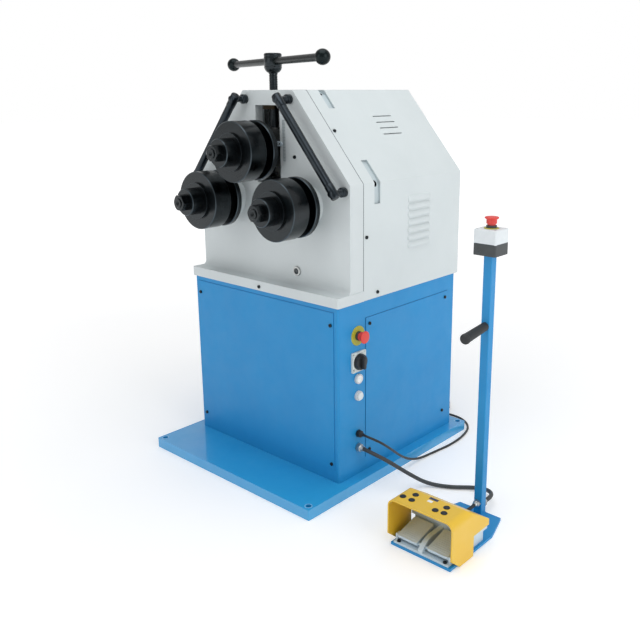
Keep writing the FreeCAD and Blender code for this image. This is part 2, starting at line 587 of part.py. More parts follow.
def make_roll(name, x, z, rear_bearing_end):
    """Shaft, hubbed disc, ring, flanged sleeve and nut of one roll; each seats on the next."""
    bore = SHAFT_R + RUN_FIT
    collar_back = FACE_Y - ROLL_STANDOFF + 2 * BOSS_GAP - AIR
    lock_front = rear_bearing_end + AIR
    shaft_back = lock_front + LOCK_RING_T + 4
    shaft = lathe([
        (0, SHAFT_FRONT + 6), (CENTRE_R, SHAFT_FRONT), (THREAD_R - 1.5, SHAFT_FRONT),
        (THREAD_R, SHAFT_FRONT + 1.5), (THREAD_R, SLEEVE_FRONT), (SHAFT_R, SLEEVE_FRONT),
        (SHAFT_R, DISC_BACK), (SHAFT_CLEAR_R - 1, DISC_BACK), (SHAFT_CLEAR_R - 1, collar_back),
        (SHAFT_R, collar_back), (SHAFT_R, shaft_back), (0, shaft_back)], "Y", x=x, z=z)
    key = box(x - KEY_WIDTH / 2, x + KEY_WIDTH / 2, FLANGE_FRONT, DISC_BACK,
              z + SHAFT_R - 4, z + SHAFT_R + KEY_HEIGHT)
    lock = lathe([(bore, lock_front), (LOCK_RING_R, lock_front),
                  (LOCK_RING_R, lock_front + LOCK_RING_T), (bore, lock_front + LOCK_RING_T)],
                 "Y", x=x, z=z)
    save(name + "_shaft", fuse(shaft, key), lock)

    keyway = box(x - KEY_WIDTH / 2 - RUN_FIT, x + KEY_WIDTH / 2 + RUN_FIT, RING_FRONT - 20,
                 DISC_BACK + 1, z + SHAFT_R - 4, z + SHAFT_R + KEY_HEIGHT + RUN_FIT)
    disc = lathe([
        (bore, HUB_FRONT), (HUB_R, HUB_FRONT), (HUB_R, DISC_FRONT), (ROLL_R - EDGE, DISC_FRONT),
        (ROLL_R, DISC_FRONT + EDGE), (ROLL_R, DISC_BACK - EDGE), (ROLL_R - EDGE, DISC_BACK),
        (bore, DISC_BACK)], "Y", x=x, z=z)
    save(name + "_disc", cut(disc, keyway))
    ring = lathe([
        (bore, RING_FRONT), (ROLL_R - EDGE, RING_FRONT), (ROLL_R, RING_FRONT + EDGE),
        (ROLL_R, HUB_FRONT - EDGE), (ROLL_R - EDGE, HUB_FRONT), (bore, HUB_FRONT)],
        "Y", x=x, z=z)
    save(name + "_ring", cut(ring, keyway))
    sleeve = lathe([
        (bore, SLEEVE_FRONT), (SLEEVE_R - EDGE, SLEEVE_FRONT), (SLEEVE_R, SLEEVE_FRONT + EDGE),
        (SLEEVE_R, FLANGE_FRONT), (SLEEVE_FLANGE_R, FLANGE_FRONT), (SLEEVE_FLANGE_R, RING_FRONT),
        (bore, RING_FRONT)], "Y", x=x, z=z)
    save(name + "_sleeve", cut(sleeve, keyway))

    corner = NUT_FLATS / 2 / math.cos(math.radians(30))
    hexagon = [(x + corner * math.cos(math.radians(60 * i)), z + corner * math.sin(math.radians(60 * i)))
               for i in range(6)]
    nut = prism_y(hexagon, NUT_FRONT, SLEEVE_FRONT)
    rounding = lathe([(0, NUT_FRONT), (NUT_FLATS / 2 - 0.5, NUT_FRONT), (corner + 0.1, NUT_FRONT + 2.5),
                      (corner + 0.1, SLEEVE_FRONT), (0, SLEEVE_FRONT)], "Y", x=x, z=z)
    nut = cut(nut.common(rounding), rod(THREAD_R + RUN_FIT, "Y", NUT_FRONT - 1, SLEEVE_FRONT + 1,
                                        x=x, z=z))
    save(name + "_nut", nut)


# ---------------------------------------------------------------- gear train
BACKLASH = 0.5
GEAR_HUB_R = 34.0


def involute(angle):
    return math.tan(angle) - angle


def gear_outline(teeth, x, z, first_tooth):
    """Spur gear outline with involute flanks, first_tooth in degrees from +X towards +Z."""
    pitch_r = MODULE * teeth / 2
    base_r = pitch_r * math.cos(PRESSURE_ANGLE)
    root_r = pitch_r - 1.25 * MODULE
    tip_r = pitch_r + MODULE
    low_r = max(base_r, root_r)
    half_at_pitch = math.pi / (2 * teeth) - BACKLASH / (2 * pitch_r)

    def half_angle(radius):
        return half_at_pitch + involute(PRESSURE_ANGLE) - involute(math.acos(base_r / radius))

    flank = [(root_r, half_angle(low_r)), (pitch_r, half_angle(pitch_r)), (tip_r, half_angle(tip_r))]
    outline = []
    for tooth in range(teeth):
        centre = math.radians(first_tooth + tooth * 360 / teeth)
        rising = [(r, centre - a) for r, a in flank]
        falling = [(r, centre + a) for r, a in reversed(flank)]
        outline += [(x + r * math.cos(a), z + r * math.sin(a)) for r, a in rising + falling]
    return outline


def make_gears():
    """Pinion between two equal gears; a tooth of the pinion stands straight up."""
    line = math.degrees(math.atan2(LOWER_ROLL_HEIGHT - PINION_Z, ROLL_X))
    tooth_pitch = 360 / PINION_TEETH
    past_line = (90 - line) % tooth_pitch
    gap = line + 180 - past_line * PINION_TEETH / GEAR_TEETH
    first_tooth = gap + 180 / GEAR_TEETH
    bore = SHAFT_R + RUN_FIT
    for name, sx in (("right", 1), ("left", -1)):
        x = sx * ROLL_X
        start = first_tooth if sx > 0 else 180 - first_tooth
        wheel = prism_y(gear_outline(GEAR_TEETH, x, LOWER_ROLL_HEIGHT, start), *GEAR_Y)
        hub = rod(GEAR_HUB_R, "Y", GEAR_Y[0], REAR_BEARING_Y - AIR, x=x, z=LOWER_ROLL_HEIGHT)
        hole = rod(bore, "Y", GEAR_Y[0] - 1, REAR_BEARING_Y + 1, x=x, z=LOWER_ROLL_HEIGHT)
        save(name + "_gear", cut(fuse(wheel, hub), hole))

    pinion = prism_y(gear_outline(PINION_TEETH, 0, PINION_Z, 90), *GEAR_Y)
    pilot = rod(PILOT_R, "Y", SEAM_Y - 22, GEAR_Y[0], z=PINION_Z)
    drive = rod(PINION_SHAFT_R, "Y", GEAR_Y[1], MOTOR_FRONT + 40, z=PINION_Z)
    save("drive_pinion", fuse(pinion, pilot, drive))


BOX_SIDE = 184.0
BOX_DEPTH = 112.0
MOTOR_R = 80.0
MOTOR_LENGTH = 210.0
COWL_R = MOTOR_R + 4.0
COWL_LENGTH = 46.0
TERMINAL_HALF = 48.0
TERMINAL_START = 40.0            # behind the gearbox
TERMINAL_LENGTH = 100.0
TERMINAL_RISE = MOTOR_R + 44.0


def make_gearmotor():
    """Gearbox bolted to the inner plate, with its motor, cowl and terminal box behind."""
    half = BOX_SIDE / 2
    gearbox = box(-half, half, MOTOR_FRONT, MOTOR_FRONT + BOX_DEPTH, PINION_Z - half, PINION_Z + half)
    gearbox = rounded(gearbox, 18, "Y")
    start = MOTOR_FRONT + BOX_DEPTH
    flange = rod(half - 4, "Y", start, start + 14, z=PINION_Z)
    drum = rod(MOTOR_R, "Y", start, start + MOTOR_LENGTH, z=PINION_Z)
    cowl = rod(COWL_R, "Y", start + MOTOR_LENGTH, start + MOTOR_LENGTH + COWL_LENGTH, z=PINION_Z)
    terminals = box(-TERMINAL_HALF, TERMINAL_HALF, start + TERMINAL_START,
                    start + TERMINAL_START + TERMINAL_LENGTH,
                    PINION_Z + MOTOR_R - 20, PINION_Z + TERMINAL_RISE)
    motor = fuse(gearbox, flange, drum, cowl, terminals)
    socket = rod(PINION_SHAFT_R + RUN_FIT, "Y", MOTOR_FRONT - 1, MOTOR_FRONT + 44, z=PINION_Z)
    save("gearmotor", cut(motor, socket))


# ---------------------------------------------------------------- carriage and feed
CARRIAGE_X = SLOT_X - 0.5
CARRIAGE_FRONT = FACE_Y + 12.0
CARRIAGE_DOWN = 50.0
CARRIAGE_UP = 60.0
NOSE_R = 45.0
CAP_T = 6.0
CAP_R = 25.0
SCREW_COLLAR_R = 18.0
SCREW_COLLAR_T = 8.0
SCREW_PIN_R = 10.0
HUB_NECK_Z = HEAD_TOP + 50.0
HUB_TOP_Z = HEAD_TOP + 109.0
HUB_OUT_R = 27.5
BAR_R = 11.0
BAR_Z = HUB_TOP_Z - 24.0
BALL_R = 21.75
BAR_REACH = 352.0
BAR_TURN = -19.4                 # degrees from the X axis at rest
POINTER_Z = TOP_ROLL_HEIGHT + 19.0


def make_carriage():
    """Slide of the top roll: block in the slot, bearing nose in front, tail through the inner plate."""
    low = TOP_ROLL_HEIGHT - CARRIAGE_DOWN
    top = TOP_ROLL_HEIGHT + CARRIAGE_UP
    boss_front = FACE_Y - ROLL_STANDOFF + BOSS_GAP
    block = box(-CARRIAGE_X, CARRIAGE_X, CARRIAGE_FRONT, SEAM_Y - 2, low, top)
    tail = box(-REAR_GUIDE_X, REAR_GUIDE_X, SEAM_Y - 3, CARRIAGE_BACK, low + 3, top - 12)
    nose = rod(NOSE_R, "Y", boss_front, CARRIAGE_FRONT + 1, z=TOP_ROLL_HEIGHT)
    arm = box(41, 50, FACE_Y - AIR - 3, CARRIAGE_FRONT + 1, POINTER_Z - 4, POINTER_Z + 4)
    pointer = prism_y([(41, POINTER_Z - 4), (50, POINTER_Z - 4), (60, POINTER_Z),
                       (50, POINTER_Z + 4), (41, POINTER_Z + 4)], FACE_Y - AIR - 3, FACE_Y - AIR)
    slide = fuse(block, tail, nose, arm, pointer)
    groove = SLOT_X - TONGUE - 2 * RUN_FIT
    tools = []
    for x0, x1 in ((groove, SLOT_X), (-SLOT_X, -groove)):
        tools.append(box(x0, x1, TONGUE_Y[0] - RUN_FIT, TONGUE_Y[1] + RUN_FIT, low - 1, top + 1))
    seat = CARRIAGE_BEARING_R + SEAT_FIT
    tools.append(rod(seat, "Y", boss_front - 1, boss_front + BOSS_GAP + CARRIAGE_BEARING_T,
                     z=TOP_ROLL_HEIGHT))
    tools.append(rod(seat, "Y", CARRIAGE_BACK - CARRIAGE_BEARING_T, CARRIAGE_BACK + 1,
                     z=TOP_ROLL_HEIGHT))
    tools.append(rod(SHAFT_R + 1, "Y", boss_front, CARRIAGE_BACK, z=TOP_ROLL_HEIGHT))
    pocket = top - 2 * AIR - SCREW_COLLAR_T
    tools.append(rod(SCREW_COLLAR_R + 2 * RUN_FIT, "Z", pocket, top + 1, y=SCREW_Y))
    tools.append(rod(SCREW_PIN_R + RUN_FIT, "Z", pocket - 16, pocket + 1, y=SCREW_Y))
    cap = [(SCREW_R + 2 * RUN_FIT, top), (CAP_R, top), (CAP_R, top + CAP_T),
           (SCREW_R + 2 * RUN_FIT, top + CAP_T)]
    save("carriage", cut(slide, *tools), lathe(cap, "Z", y=SCREW_Y))

    rings = []
    for start in (boss_front + BOSS_GAP, CARRIAGE_BACK - CARRIAGE_BEARING_T):
        profile = [(SHAFT_R + RUN_FIT, start), (CARRIAGE_BEARING_R, start),
                   (CARRIAGE_BEARING_R, start + CARRIAGE_BEARING_T),
                   (SHAFT_R + RUN_FIT, start + CARRIAGE_BEARING_T)]
        rings.append(lathe(profile, "Y", z=TOP_ROLL_HEIGHT))
    save("carriage_bearings", *rings)


def make_feed_screw():
    """Screw with thrust collar in the carriage and a turned hub for the cross bar."""
    top = TOP_ROLL_HEIGHT + CARRIAGE_UP
    collar_top = top - AIR
    collar_low = collar_top - SCREW_COLLAR_T
    screw = lathe([
        (0, collar_low - 14), (SCREW_PIN_R, collar_low - 14), (SCREW_PIN_R, collar_low),
        (SCREW_COLLAR_R, collar_low), (SCREW_COLLAR_R, collar_top), (SCREW_R, collar_top),
        (SCREW_R, HUB_NECK_Z), (HUB_OUT_R - 4, HUB_NECK_Z + 5, HUB_OUT_R, HUB_NECK_Z + 18),
        (HUB_OUT_R, HUB_TOP_Z - 5), (HUB_OUT_R - 1.5, HUB_TOP_Z - 1.5, HUB_OUT_R - 5, HUB_TOP_Z),
        (0, HUB_TOP_Z)], "Z", y=SCREW_Y)
    turn = math.radians(BAR_TURN)
    way = V(math.cos(turn), math.sin(turn), 0)
    centre = V(0, SCREW_Y, BAR_Z)
    hole = Part.makeCylinder(BAR_R + RUN_FIT, 4 * HUB_OUT_R, centre - way * 2 * HUB_OUT_R, way)
    save("feed_screw", cut(screw, hole))
    reach = BAR_REACH - BALL_R
    bar = Part.makeCylinder(BAR_R, 2 * reach, centre - way * reach, way)
    balls = [Part.makeSphere(BALL_R, centre + way * side * reach) for side in (-1, 1)]
    save("t_bar", fuse(bar, *balls))


# ---------------------------------------------------------------- foot station
STATION_BASE_T = 8.0
STATION_HALF = 98.0
STATION_FRONT = CAB_FRONT - 106.0
STATION_BEND = CAB_FRONT + 105.0
STATION_BACK = CAB_FRONT + 198.0
STATION_REAR_HALF = 70.0
POST_SIDE = 26.0
POST_WALL = 2.0
POST_X = STATION_X + 6.0
POST_Y = STATION_BACK - POST_SIDE / 2
BOX_X = 35.0
BOX_Y = 34.0
BOX_SPLIT = POST_HEIGHT + 32.0
BOX_TOP = BOX_SPLIT + 39.0
GRIP_Z = POST_HEIGHT - 202.0
GRIP_LENGTH = 108.0
GRIP_DROP = 7.0                  # degrees below level
HOUSING_Y = (CAB_FRONT - 5.0, CAB_FRONT + 67.0)
HOUSING_TOP = 50.0
LEDGE_TOP = 62.0
FOOT_PLATE_T = 6.0
FOOT_HALF = 90.0
HOOD_T = 4.0
HOOD_HALF = 106.0
HOOD_TOP = 142.0
HOOD_CORNER = 22.0
PEDAL_HINGE_Y = CAB_FRONT - 86.0
PEDAL_HINGE_Z = 25.0
PEDAL_PIN_R = 4.0
PEDAL_HALF = 33.0
PEDAL_X = 50.0                   # pedal centre from the station's centre line
PEDAL_BACK = CAB_FRONT - 11.0
PEDAL_RISE = 17.0
PEDAL_T = 7.0
LUG_T = 6.0


def make_station():
    """Blue base plate with a square post, the switch box on top and a grip half way up."""
    outline = [
        (STATION_X - STATION_HALF, STATION_FRONT), (STATION_X + STATION_HALF, STATION_FRONT),
        (STATION_X + STATION_HALF, STATION_BEND), (STATION_X + STATION_REAR_HALF, STATION_BACK),
        (STATION_X - STATION_REAR_HALF, STATION_BACK), (STATION_X - STATION_HALF, STATION_BEND)]
    plate = prism_z(outline, 0, STATION_BASE_T)
    half = POST_SIDE / 2
    inner = half - POST_WALL
    post = box(POST_X - half, POST_X + half, POST_Y - half, POST_Y + half, STATION_BASE_T, POST_HEIGHT)
    post = rounded(post, 2.5, "Z")
    hollow = box(POST_X - inner, POST_X + inner, POST_Y - inner, POST_Y + inner,
                 STATION_BASE_T, POST_HEIGHT + 1)
    save("station_stand", fuse(plate, cut(post, hollow)))

    case = box(POST_X - BOX_X, POST_X + BOX_X, POST_Y - BOX_Y, POST_Y + BOX_Y, POST_HEIGHT, BOX_SPLIT)
    save("station_box", rounded(case, 5, "Z"))
    lid = box(POST_X - BOX_X, POST_X + BOX_X, POST_Y - BOX_Y, POST_Y + BOX_Y, BOX_SPLIT, BOX_TOP)
    lid = rounded(lid, 5, "Z")
    top_edges = [e for e in lid.Edges if min(v.Z for v in e.Vertexes) > BOX_TOP - 0.1]
    lid = lid.makeFillet(2.5, top_edges)
    stem_room = rod(STEM_HOLE_R, "Z", BOX_TOP - STEM_DEPTH - ESTOP_TRAVEL - 2, BOX_TOP + 1,
                    x=POST_X, y=POST_Y)
    save("station_lid", cut(lid, stem_room))

    profile = [(0, -20), (12, -20), (13, 40), (14, GRIP_LENGTH - 14),
               (13.2, GRIP_LENGTH - 3.5, 9, GRIP_LENGTH), (0, GRIP_LENGTH)]
    grip = lathe(profile, "Z")
    grip.rotate(V(0, 0, 0), V(1, 0, 0), 90 + GRIP_DROP)
    grip.translate(V(POST_X, POST_Y - half, GRIP_Z))
    behind = box(POST_X - 40, POST_X + 40, POST_Y - half, POST_Y + 40, GRIP_Z - 60, GRIP_Z + 60)
    save("post_grip", cut(grip, behind))


def make_foot_switch():
    """Cast switch base with two treadles on one pin under a bent sheet hood."""
    base_low = STATION_BASE_T
    low_x = STATION_X - FOOT_HALF
    high_x = STATION_X + FOOT_HALF
    base = box(low_x, high_x, STATION_FRONT + 2, HOUSING_Y[1], base_low, base_low + FOOT_PLATE_T)
    housing = box(low_x, high_x, *HOUSING_Y, base_low, HOUSING_TOP)
    ledge_x = HOOD_HALF - HOOD_T
    ledge = box(STATION_X - ledge_x, STATION_X + ledge_x, *HOUSING_Y, HOUSING_TOP, LEDGE_TOP)
    rib_back = HOUSING_Y[0] + 1
    rib = prism_x([(STATION_FRONT + 2, base_low), (STATION_FRONT + 2, base_low + 14),
                   (STATION_FRONT + 30, base_low + 34, STATION_FRONT + 62, base_low + 38),
                   (rib_back, base_low + 40), (rib_back, base_low)], STATION_X - 7, STATION_X + 7)
    lugs = []
    for x in (low_x, high_x - LUG_T):
        lugs.append(box(x, x + LUG_T, PEDAL_HINGE_Y - 8, PEDAL_HINGE_Y + 8,
                        base_low, PEDAL_HINGE_Z + 7))
    pin = rod(PEDAL_PIN_R, "X", low_x + 2, high_x - 2, y=PEDAL_HINGE_Y, z=PEDAL_HINGE_Z)
    spigot = rod(9, "Y", HOUSING_Y[1] - 1, HOUSING_Y[1] + 9, x=JUMPER[-1][0], z=JUMPER[-1][2])
    save("pedal_base", fuse(base, housing, ledge, rib, pin, spigot, *lugs))

    slope = math.atan2(PEDAL_RISE, PEDAL_BACK - PEDAL_HINGE_Y)
    for name, side in (("pedal_left", -1), ("pedal_right", 1)):
        x = STATION_X + side * PEDAL_X
        ahead = 10.0
        depth = PEDAL_BACK - PEDAL_HINGE_Y
        plate = box(x - PEDAL_HALF, x + PEDAL_HALF, -ahead, depth, 3, 3 + PEDAL_T)
        plate = rounded(plate, 6, "Z")
        knuckle = rod(PEDAL_PIN_R + 3.5, "X", x - PEDAL_HALF, x + PEDAL_HALF)
        skirts = [box(x + s - 2, x + s + 2, 0, depth - 12, -4, 4) for s in (-28, 28)]
        pedal = cut(fuse(plate, knuckle, *skirts), rod(PEDAL_PIN_R + RUN_FIT, "X", x - 60, x + 60))
        pedal.rotate(V(0, 0, 0), V(1, 0, 0), math.degrees(slope))
        pedal.translate(V(0, PEDAL_HINGE_Y, PEDAL_HINGE_Z))
        save(name, pedal)

    front = STATION_FRONT - 6
    arch = []
    for half, top, corner in ((HOOD_HALF, HOOD_TOP, HOOD_CORNER),
                              (HOOD_HALF - HOOD_T, HOOD_TOP - HOOD_T, HOOD_CORNER - HOOD_T)):
        bite = corner * (1 - math.sqrt(0.5))
        shape = [(STATION_X - half, 0), (STATION_X - half, top - corner),
                 (STATION_X - half + bite, top - bite, STATION_X - half + corner, top),
                 (STATION_X + half - corner, top),
                 (STATION_X + half - bite, top - bite, STATION_X + half, top - corner),
                 (STATION_X + half, 0)]
        arch.append(prism_y(shape, front, HOUSING_Y[1] + 2))
    tunnel = cut(arch[0], arch[1])
    side_view = [(front, 35), (front + 40, 2), (HOUSING_Y[0] - 2, 2), (HOUSING_Y[0] - 2, LEDGE_TOP),
                 (HOUSING_Y[1] + 2, LEDGE_TOP), (HOUSING_Y[1] + 2, 80),
                 (CAB_FRONT - 30, HOOD_TOP + 1), (front, HOOD_TOP + 1)]
    keep = prism_x(side_view, STATION_X - HOOD_HALF - 1, STATION_X + HOOD_HALF + 1)
    sides = tunnel.common(keep)
    roof = [(CAB_FRONT - 30, HOOD_TOP), (HOUSING_Y[1] + 2, 80), (HOUSING_Y[1] + 2, 80 - 5),
            (CAB_FRONT - 31.5, HOOD_TOP - HOOD_T)]
    slant = prism_x(roof, STATION_X - HOOD_HALF + 1, STATION_X + HOOD_HALF - 1)
    slant = slant.common(arch[0])
    save("pedal_shield", fuse(sides, slant))


# ---------------------------------------------------------------- cords
CORD_R = 4.0
HOSE_R = 6.5
JUMPER_R = 5.0
MAINS_FROM_CABINET = (
    (22.0, 0.0, 174.0), (43.0, 0.0, 173.0), (63.0, 11.0, 165.0), (73.0, 37.0, 146.0),
    (71.0, 84.0, 108.0), (63.0, 138.0, 64.0), (57.0, 194.0, 28.0), (55.0, 254.0, 5.5))
MAINS_TO_COIL = (
    (227.0, -332.0, 4.3), (239.0, -242.0, 4.3), (234.0, -154.0, 4.3), (208.0, -74.0, 4.3),
    (148.0, -28.0, 4.3), (82.0, -26.0, 6.5), (35.5, -45.0, 9.5))
HOSE_FROM_CABINET = (
    (22.0, 0.0, 127.0), (63.0, 0.0, 124.0), (104.0, 20.0, 105.0), (142.0, 72.0, 56.0),
    (178.0, 128.0, 9.5))
HOSE_TO_POST = (
    (-150.0, 66.0, 7.2), (-98.0, 109.0, 7.6), (-59.0, 116.0, 15.0),
    (-22.0, 100.0, 24.0), (0.0, 67.0, 30.0), (0.0, 28.0, 32.0))
JUMPER_FROM_POST = (
    (0.0, -31.0, 45.0), (-1.0, -56.0, 42.0), (-6.0, -84.0, 40.0), (-11.0, -109.0, 41.0))
COIL_X = 170.0
COIL_Y = CAB_BACK + 139.0
COIL_MEAN_R = 46.0
COIL_HALF_WIDTH = 11.5
COIL_LOW = 0.3
COIL_HIGH = 19.8
PLUG_LENGTH = 114.0
PLUG_TAIL = 36.0
PLUG_BODY_R = 23.0


def placed(offsets, x, y):
    """Route points given from the piece that the cord leaves or reaches."""
    return [(x + dx, y + dy, z) for dx, dy, z in offsets]


MAINS_ROUTE = placed(MAINS_FROM_CABINET, CAB_X, CONTROL_Y) + placed(MAINS_TO_COIL, COIL_X, COIL_Y)
HOSE_ROUTE = placed(HOSE_FROM_CABINET, CAB_X, CONTROL_Y) + placed(HOSE_TO_POST, POST_X, POST_Y)
JUMPER = placed(JUMPER_FROM_POST, POST_X, POST_Y)


def cord(points, radius):
    """Round tube along straight runs joined by arcs as large as the runs allow."""
    route = [V(*p) for p in points]
    edges = []
    radii = []
    here = route[0]
    for before, corner, after in zip(route, route[1:], route[2:]):
        back = before - corner
        ahead = after - corner
        short = 0.45 * min(back.Length, ahead.Length)
        back.normalize()
        ahead.normalize()
        half_turn = (math.pi - back.getAngle(ahead)) / 2
        radii.append(short / math.tan(half_turn))
        start = corner + back * short
        end = corner + ahead * short
        inward = back + ahead
        inward.normalize()
        centre = corner + inward * (radii[-1] / math.cos(half_turn))
        middle = centre - inward * radii[-1]
        edges += [Part.LineSegment(here, start).toShape(), Part.Arc(start, middle, end).toShape()]
        here = end
    edges.append(Part.LineSegment(here, route[-1]).toShape())
    path = Part.Wire(edges)
    circle = Part.Wire([Part.makeCircle(radius, route[0], route[1] - route[0])])
    tube = path.makePipeShell([circle], True, False)
    expected = math.pi * radius ** 2 * path.Length
    print("cord length %.0f, radii %s, volume ratio %.4f"
          % (path.Length, [round(r) for r in radii], tube.Volume / expected))
    return tube


def gland(along, start, reach, radius, x=0.0, y=0.0, z=0.0, grip=4.05):
    """Cable gland: hex seat, dome nut and tapered sleeve; reach may be negative."""
    step = 1 if reach > 0 else -1
    length = abs(reach)
    profile = [
        (grip, start), (radius, start), (radius, start + step * length * 0.3),
        (radius - 1, start + step * length * 0.32), (radius - 1, start + step * length * 0.62),
        (radius - 3, start + step * length * 0.75), (grip + 1.5, start + step * length),
        (grip, start + step * length)]
    return lathe(profile, along, x=x, y=y, z=z)


def make_cords():
    save("mains_cord", cord(MAINS_ROUTE, CORD_R))
    save("pedal_hose", cord(HOSE_ROUTE, HOSE_R))
    save("jumper_cable", cord(JUMPER, JUMPER_R))
    save("mains_gland", gland("X", CAB_X, MAINS_ROUTE[0][0] - CAB_X + 2, 12, y=CONTROL_Y, z=MAINS_Z))
    half = POST_SIDE / 2
    hose_grip = HOSE_R + RUN_FIT
    save("hose_glands",
         gland("X", CAB_X, HOSE_ROUTE[0][0] - CAB_X + 2, 13.5, y=CONTROL_Y, z=HOSE_Z, grip=hose_grip),
         gland("Y", POST_Y + half, HOSE_ROUTE[-1][1] - POST_Y - half + 2, 13.0, x=POST_X,
               z=HOSE_ROUTE[-1][2], grip=hose_grip),
         gland("Y", POST_Y - half, JUMPER[0][1] - POST_Y + half - 2, 11.0, x=POST_X,
               z=JUMPER[0][2], grip=JUMPER_R + RUN_FIT))

    mid = (COIL_LOW + COIL_HIGH) / 2
    inner = COIL_MEAN_R - COIL_HALF_WIDTH
    outer = COIL_MEAN_R + COIL_HALF_WIDTH
    coil = lathe([
        (inner + 4, COIL_LOW), (outer - 4, COIL_LOW), (outer, COIL_LOW + 4), (outer, COIL_HIGH - 4),
        (outer - 4, COIL_HIGH), (inner + 4, COIL_HIGH), (inner, COIL_HIGH - 4),
        (inner, COIL_LOW + 4)], "Z", x=COIL_X, y=COIL_Y)
    save("mains_coil", coil)
    print("coil volume over 8 mm cord:", round(coil.Volume / (math.pi * CORD_R ** 2)), "mm")

    plug_y = COIL_Y - COIL_MEAN_R
    tail_x = COIL_X - math.sqrt(outer ** 2 - COIL_MEAN_R ** 2)
    end_x = tail_x - PLUG_TAIL - PLUG_LENGTH
    body = lathe([
        (0, end_x), (PLUG_BODY_R - 3, end_x), (PLUG_BODY_R - 3, end_x + 38),
        (PLUG_BODY_R, end_x + 40), (PLUG_BODY_R, end_x + 88), (PLUG_BODY_R - 6, end_x + 100),
        (PLUG_BODY_R - 10, end_x + PLUG_LENGTH), (0, end_x + PLUG_LENGTH)],
        "X", y=plug_y, z=PLUG_BODY_R + COIL_LOW)
    root = V(tail_x - PLUG_TAIL - 1, plug_y, PLUG_BODY_R)
    wide = Part.Wire([Part.makeCircle(9, root, V(1, 0, 0))])
    thin = Part.Wire([Part.makeCircle(CORD_R + 0.4, V(tail_x + 1, plug_y, mid + 2), V(1, 0, 0))])
    tail = Part.makeLoft([wide, thin], True)
    save("mains_plug", fuse(body, tail))


# ---------------------------------------------------------------- screws
HEAD_R = 5.5
HEAD_H = 4.0
PANEL_SCREW_X = FRONT_PANEL_X - 11.0
PANEL_SCREW_Z = (FRONT_PANEL_Z[0] + 18.0, FRONT_PANEL_Z[1] - 40.0)
DOOR_SCREW_Y = (SIDE_PANEL_Y[0] + 16.5, SIDE_PANEL_Y[1] - 17.0)
DOOR_SCREW_Z = (SIDE_PANEL_Z[0] + 21.0, SIDE_PANEL_Z[1] - 20.5)
FACE_SCREW_Z = TOP_ROLL_HEIGHT - 18.0
SEAM_SCREW_Z = SHOULDER_HEIGHT - 159.0
COVER_SCREW_Z = CABINET_TOP + 17.0
FLANGE_SCREW_Z = CABINET_TOP + 13.0
SHOULDER_SCREW_RUN = 157.0
STATION_SCREW_X = STATION_HALF - 22.0
STATION_SCREW_Y = STATION_FRONT + 8.0


def make_screws():
    """Every machine screw that shows on the fixed body, as heads on their seats."""
    heads = []

    def screw(x, y, z, out):
        heads.append(Part.makeCylinder(HEAD_R, HEAD_H, V(x, y, z), out))

    front = V(0, -1, 0)
    for sx in (-1, 1):
        for z in PANEL_SCREW_Z:
            screw(sx * PANEL_SCREW_X, CAB_FRONT, z, front)
        screw(sx * PLUG_X, FACE_Y, FACE_SCREW_Z, front)
        side = V(sx, 0, 0)
        screw(sx * HEAD_X, SEAM_Y + 13, SEAM_SCREW_Z, side)
        screw(sx * HEAD_X, SEAM_Y + 66, COVER_SCREW_Z, side)
        spot = on_shoulder(SHOULDER_SCREW_RUN)
        screw(sx * spot.x, SEAM_Y + 13, spot.z, V(-sx * SLOPE_Z, 0, SLOPE_X))
    screw(0, CAB_FRONT - FLANGE_LIP, FLANGE_SCREW_Z, front)
    for y in DOOR_SCREW_Y:
        for z in DOOR_SCREW_Z:
            screw(CAB_X + PANEL, y, z, V(1, 0, 0))
    for sx in (-1, 1):
        screw(STATION_X + sx * STATION_SCREW_X, STATION_SCREW_Y, STATION_BASE_T + FOOT_PLATE_T,
              V(0, 0, 1))
    save("panel_screws", *heads)


make_base_plate()
make_cabinet()
make_controls()
make_head_casting()
make_guide_rails()
make_bearing_housings()
make_feed_nut()
make_inner_plate()
make_shaft_bearings()
make_sheet_cover()
make_handles()
lower_end = REAR_BEARING_Y + BEARING_T
make_roll("right", ROLL_X, LOWER_ROLL_HEIGHT, lower_end)
make_roll("left", -ROLL_X, LOWER_ROLL_HEIGHT, lower_end)
make_roll("top", 0.0, TOP_ROLL_HEIGHT, CARRIAGE_BACK)
make_gears()
make_gearmotor()
make_carriage()
make_feed_screw()
make_station()
make_foot_switch()
make_cords()
make_screws()
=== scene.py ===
# %% [markdown]
# # Ring roller
# A three-roll bending machine on a blue sheet-steel cabinet, with a foot station beside it.
# The imported CAD model is loaded first and stays as it is. It gives every piece its place, so
# nothing here is fitted by eye: a piece either keeps its CAD shape and gets a finish, or a finer
# mesh takes the place of its CAD node. Lengths are millimetres until a mesh is made, and metres in
# the floor and the lights.

# %% Frame
import math

import bmesh
import bpy
from mathutils import Euler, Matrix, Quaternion, Vector


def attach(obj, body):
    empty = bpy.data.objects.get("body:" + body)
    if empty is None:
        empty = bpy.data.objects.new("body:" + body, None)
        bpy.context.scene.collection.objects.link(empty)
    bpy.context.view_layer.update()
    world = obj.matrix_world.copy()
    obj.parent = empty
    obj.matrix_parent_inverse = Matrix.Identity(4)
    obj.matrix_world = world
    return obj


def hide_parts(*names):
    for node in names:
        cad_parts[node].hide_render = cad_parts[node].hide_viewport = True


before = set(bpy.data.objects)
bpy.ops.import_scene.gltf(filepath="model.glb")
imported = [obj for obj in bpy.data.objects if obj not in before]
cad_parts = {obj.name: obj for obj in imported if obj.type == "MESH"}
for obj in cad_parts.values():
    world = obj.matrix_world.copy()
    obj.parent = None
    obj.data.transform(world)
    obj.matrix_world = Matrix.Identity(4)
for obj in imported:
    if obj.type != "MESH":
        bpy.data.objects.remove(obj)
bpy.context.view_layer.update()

MM = 0.001

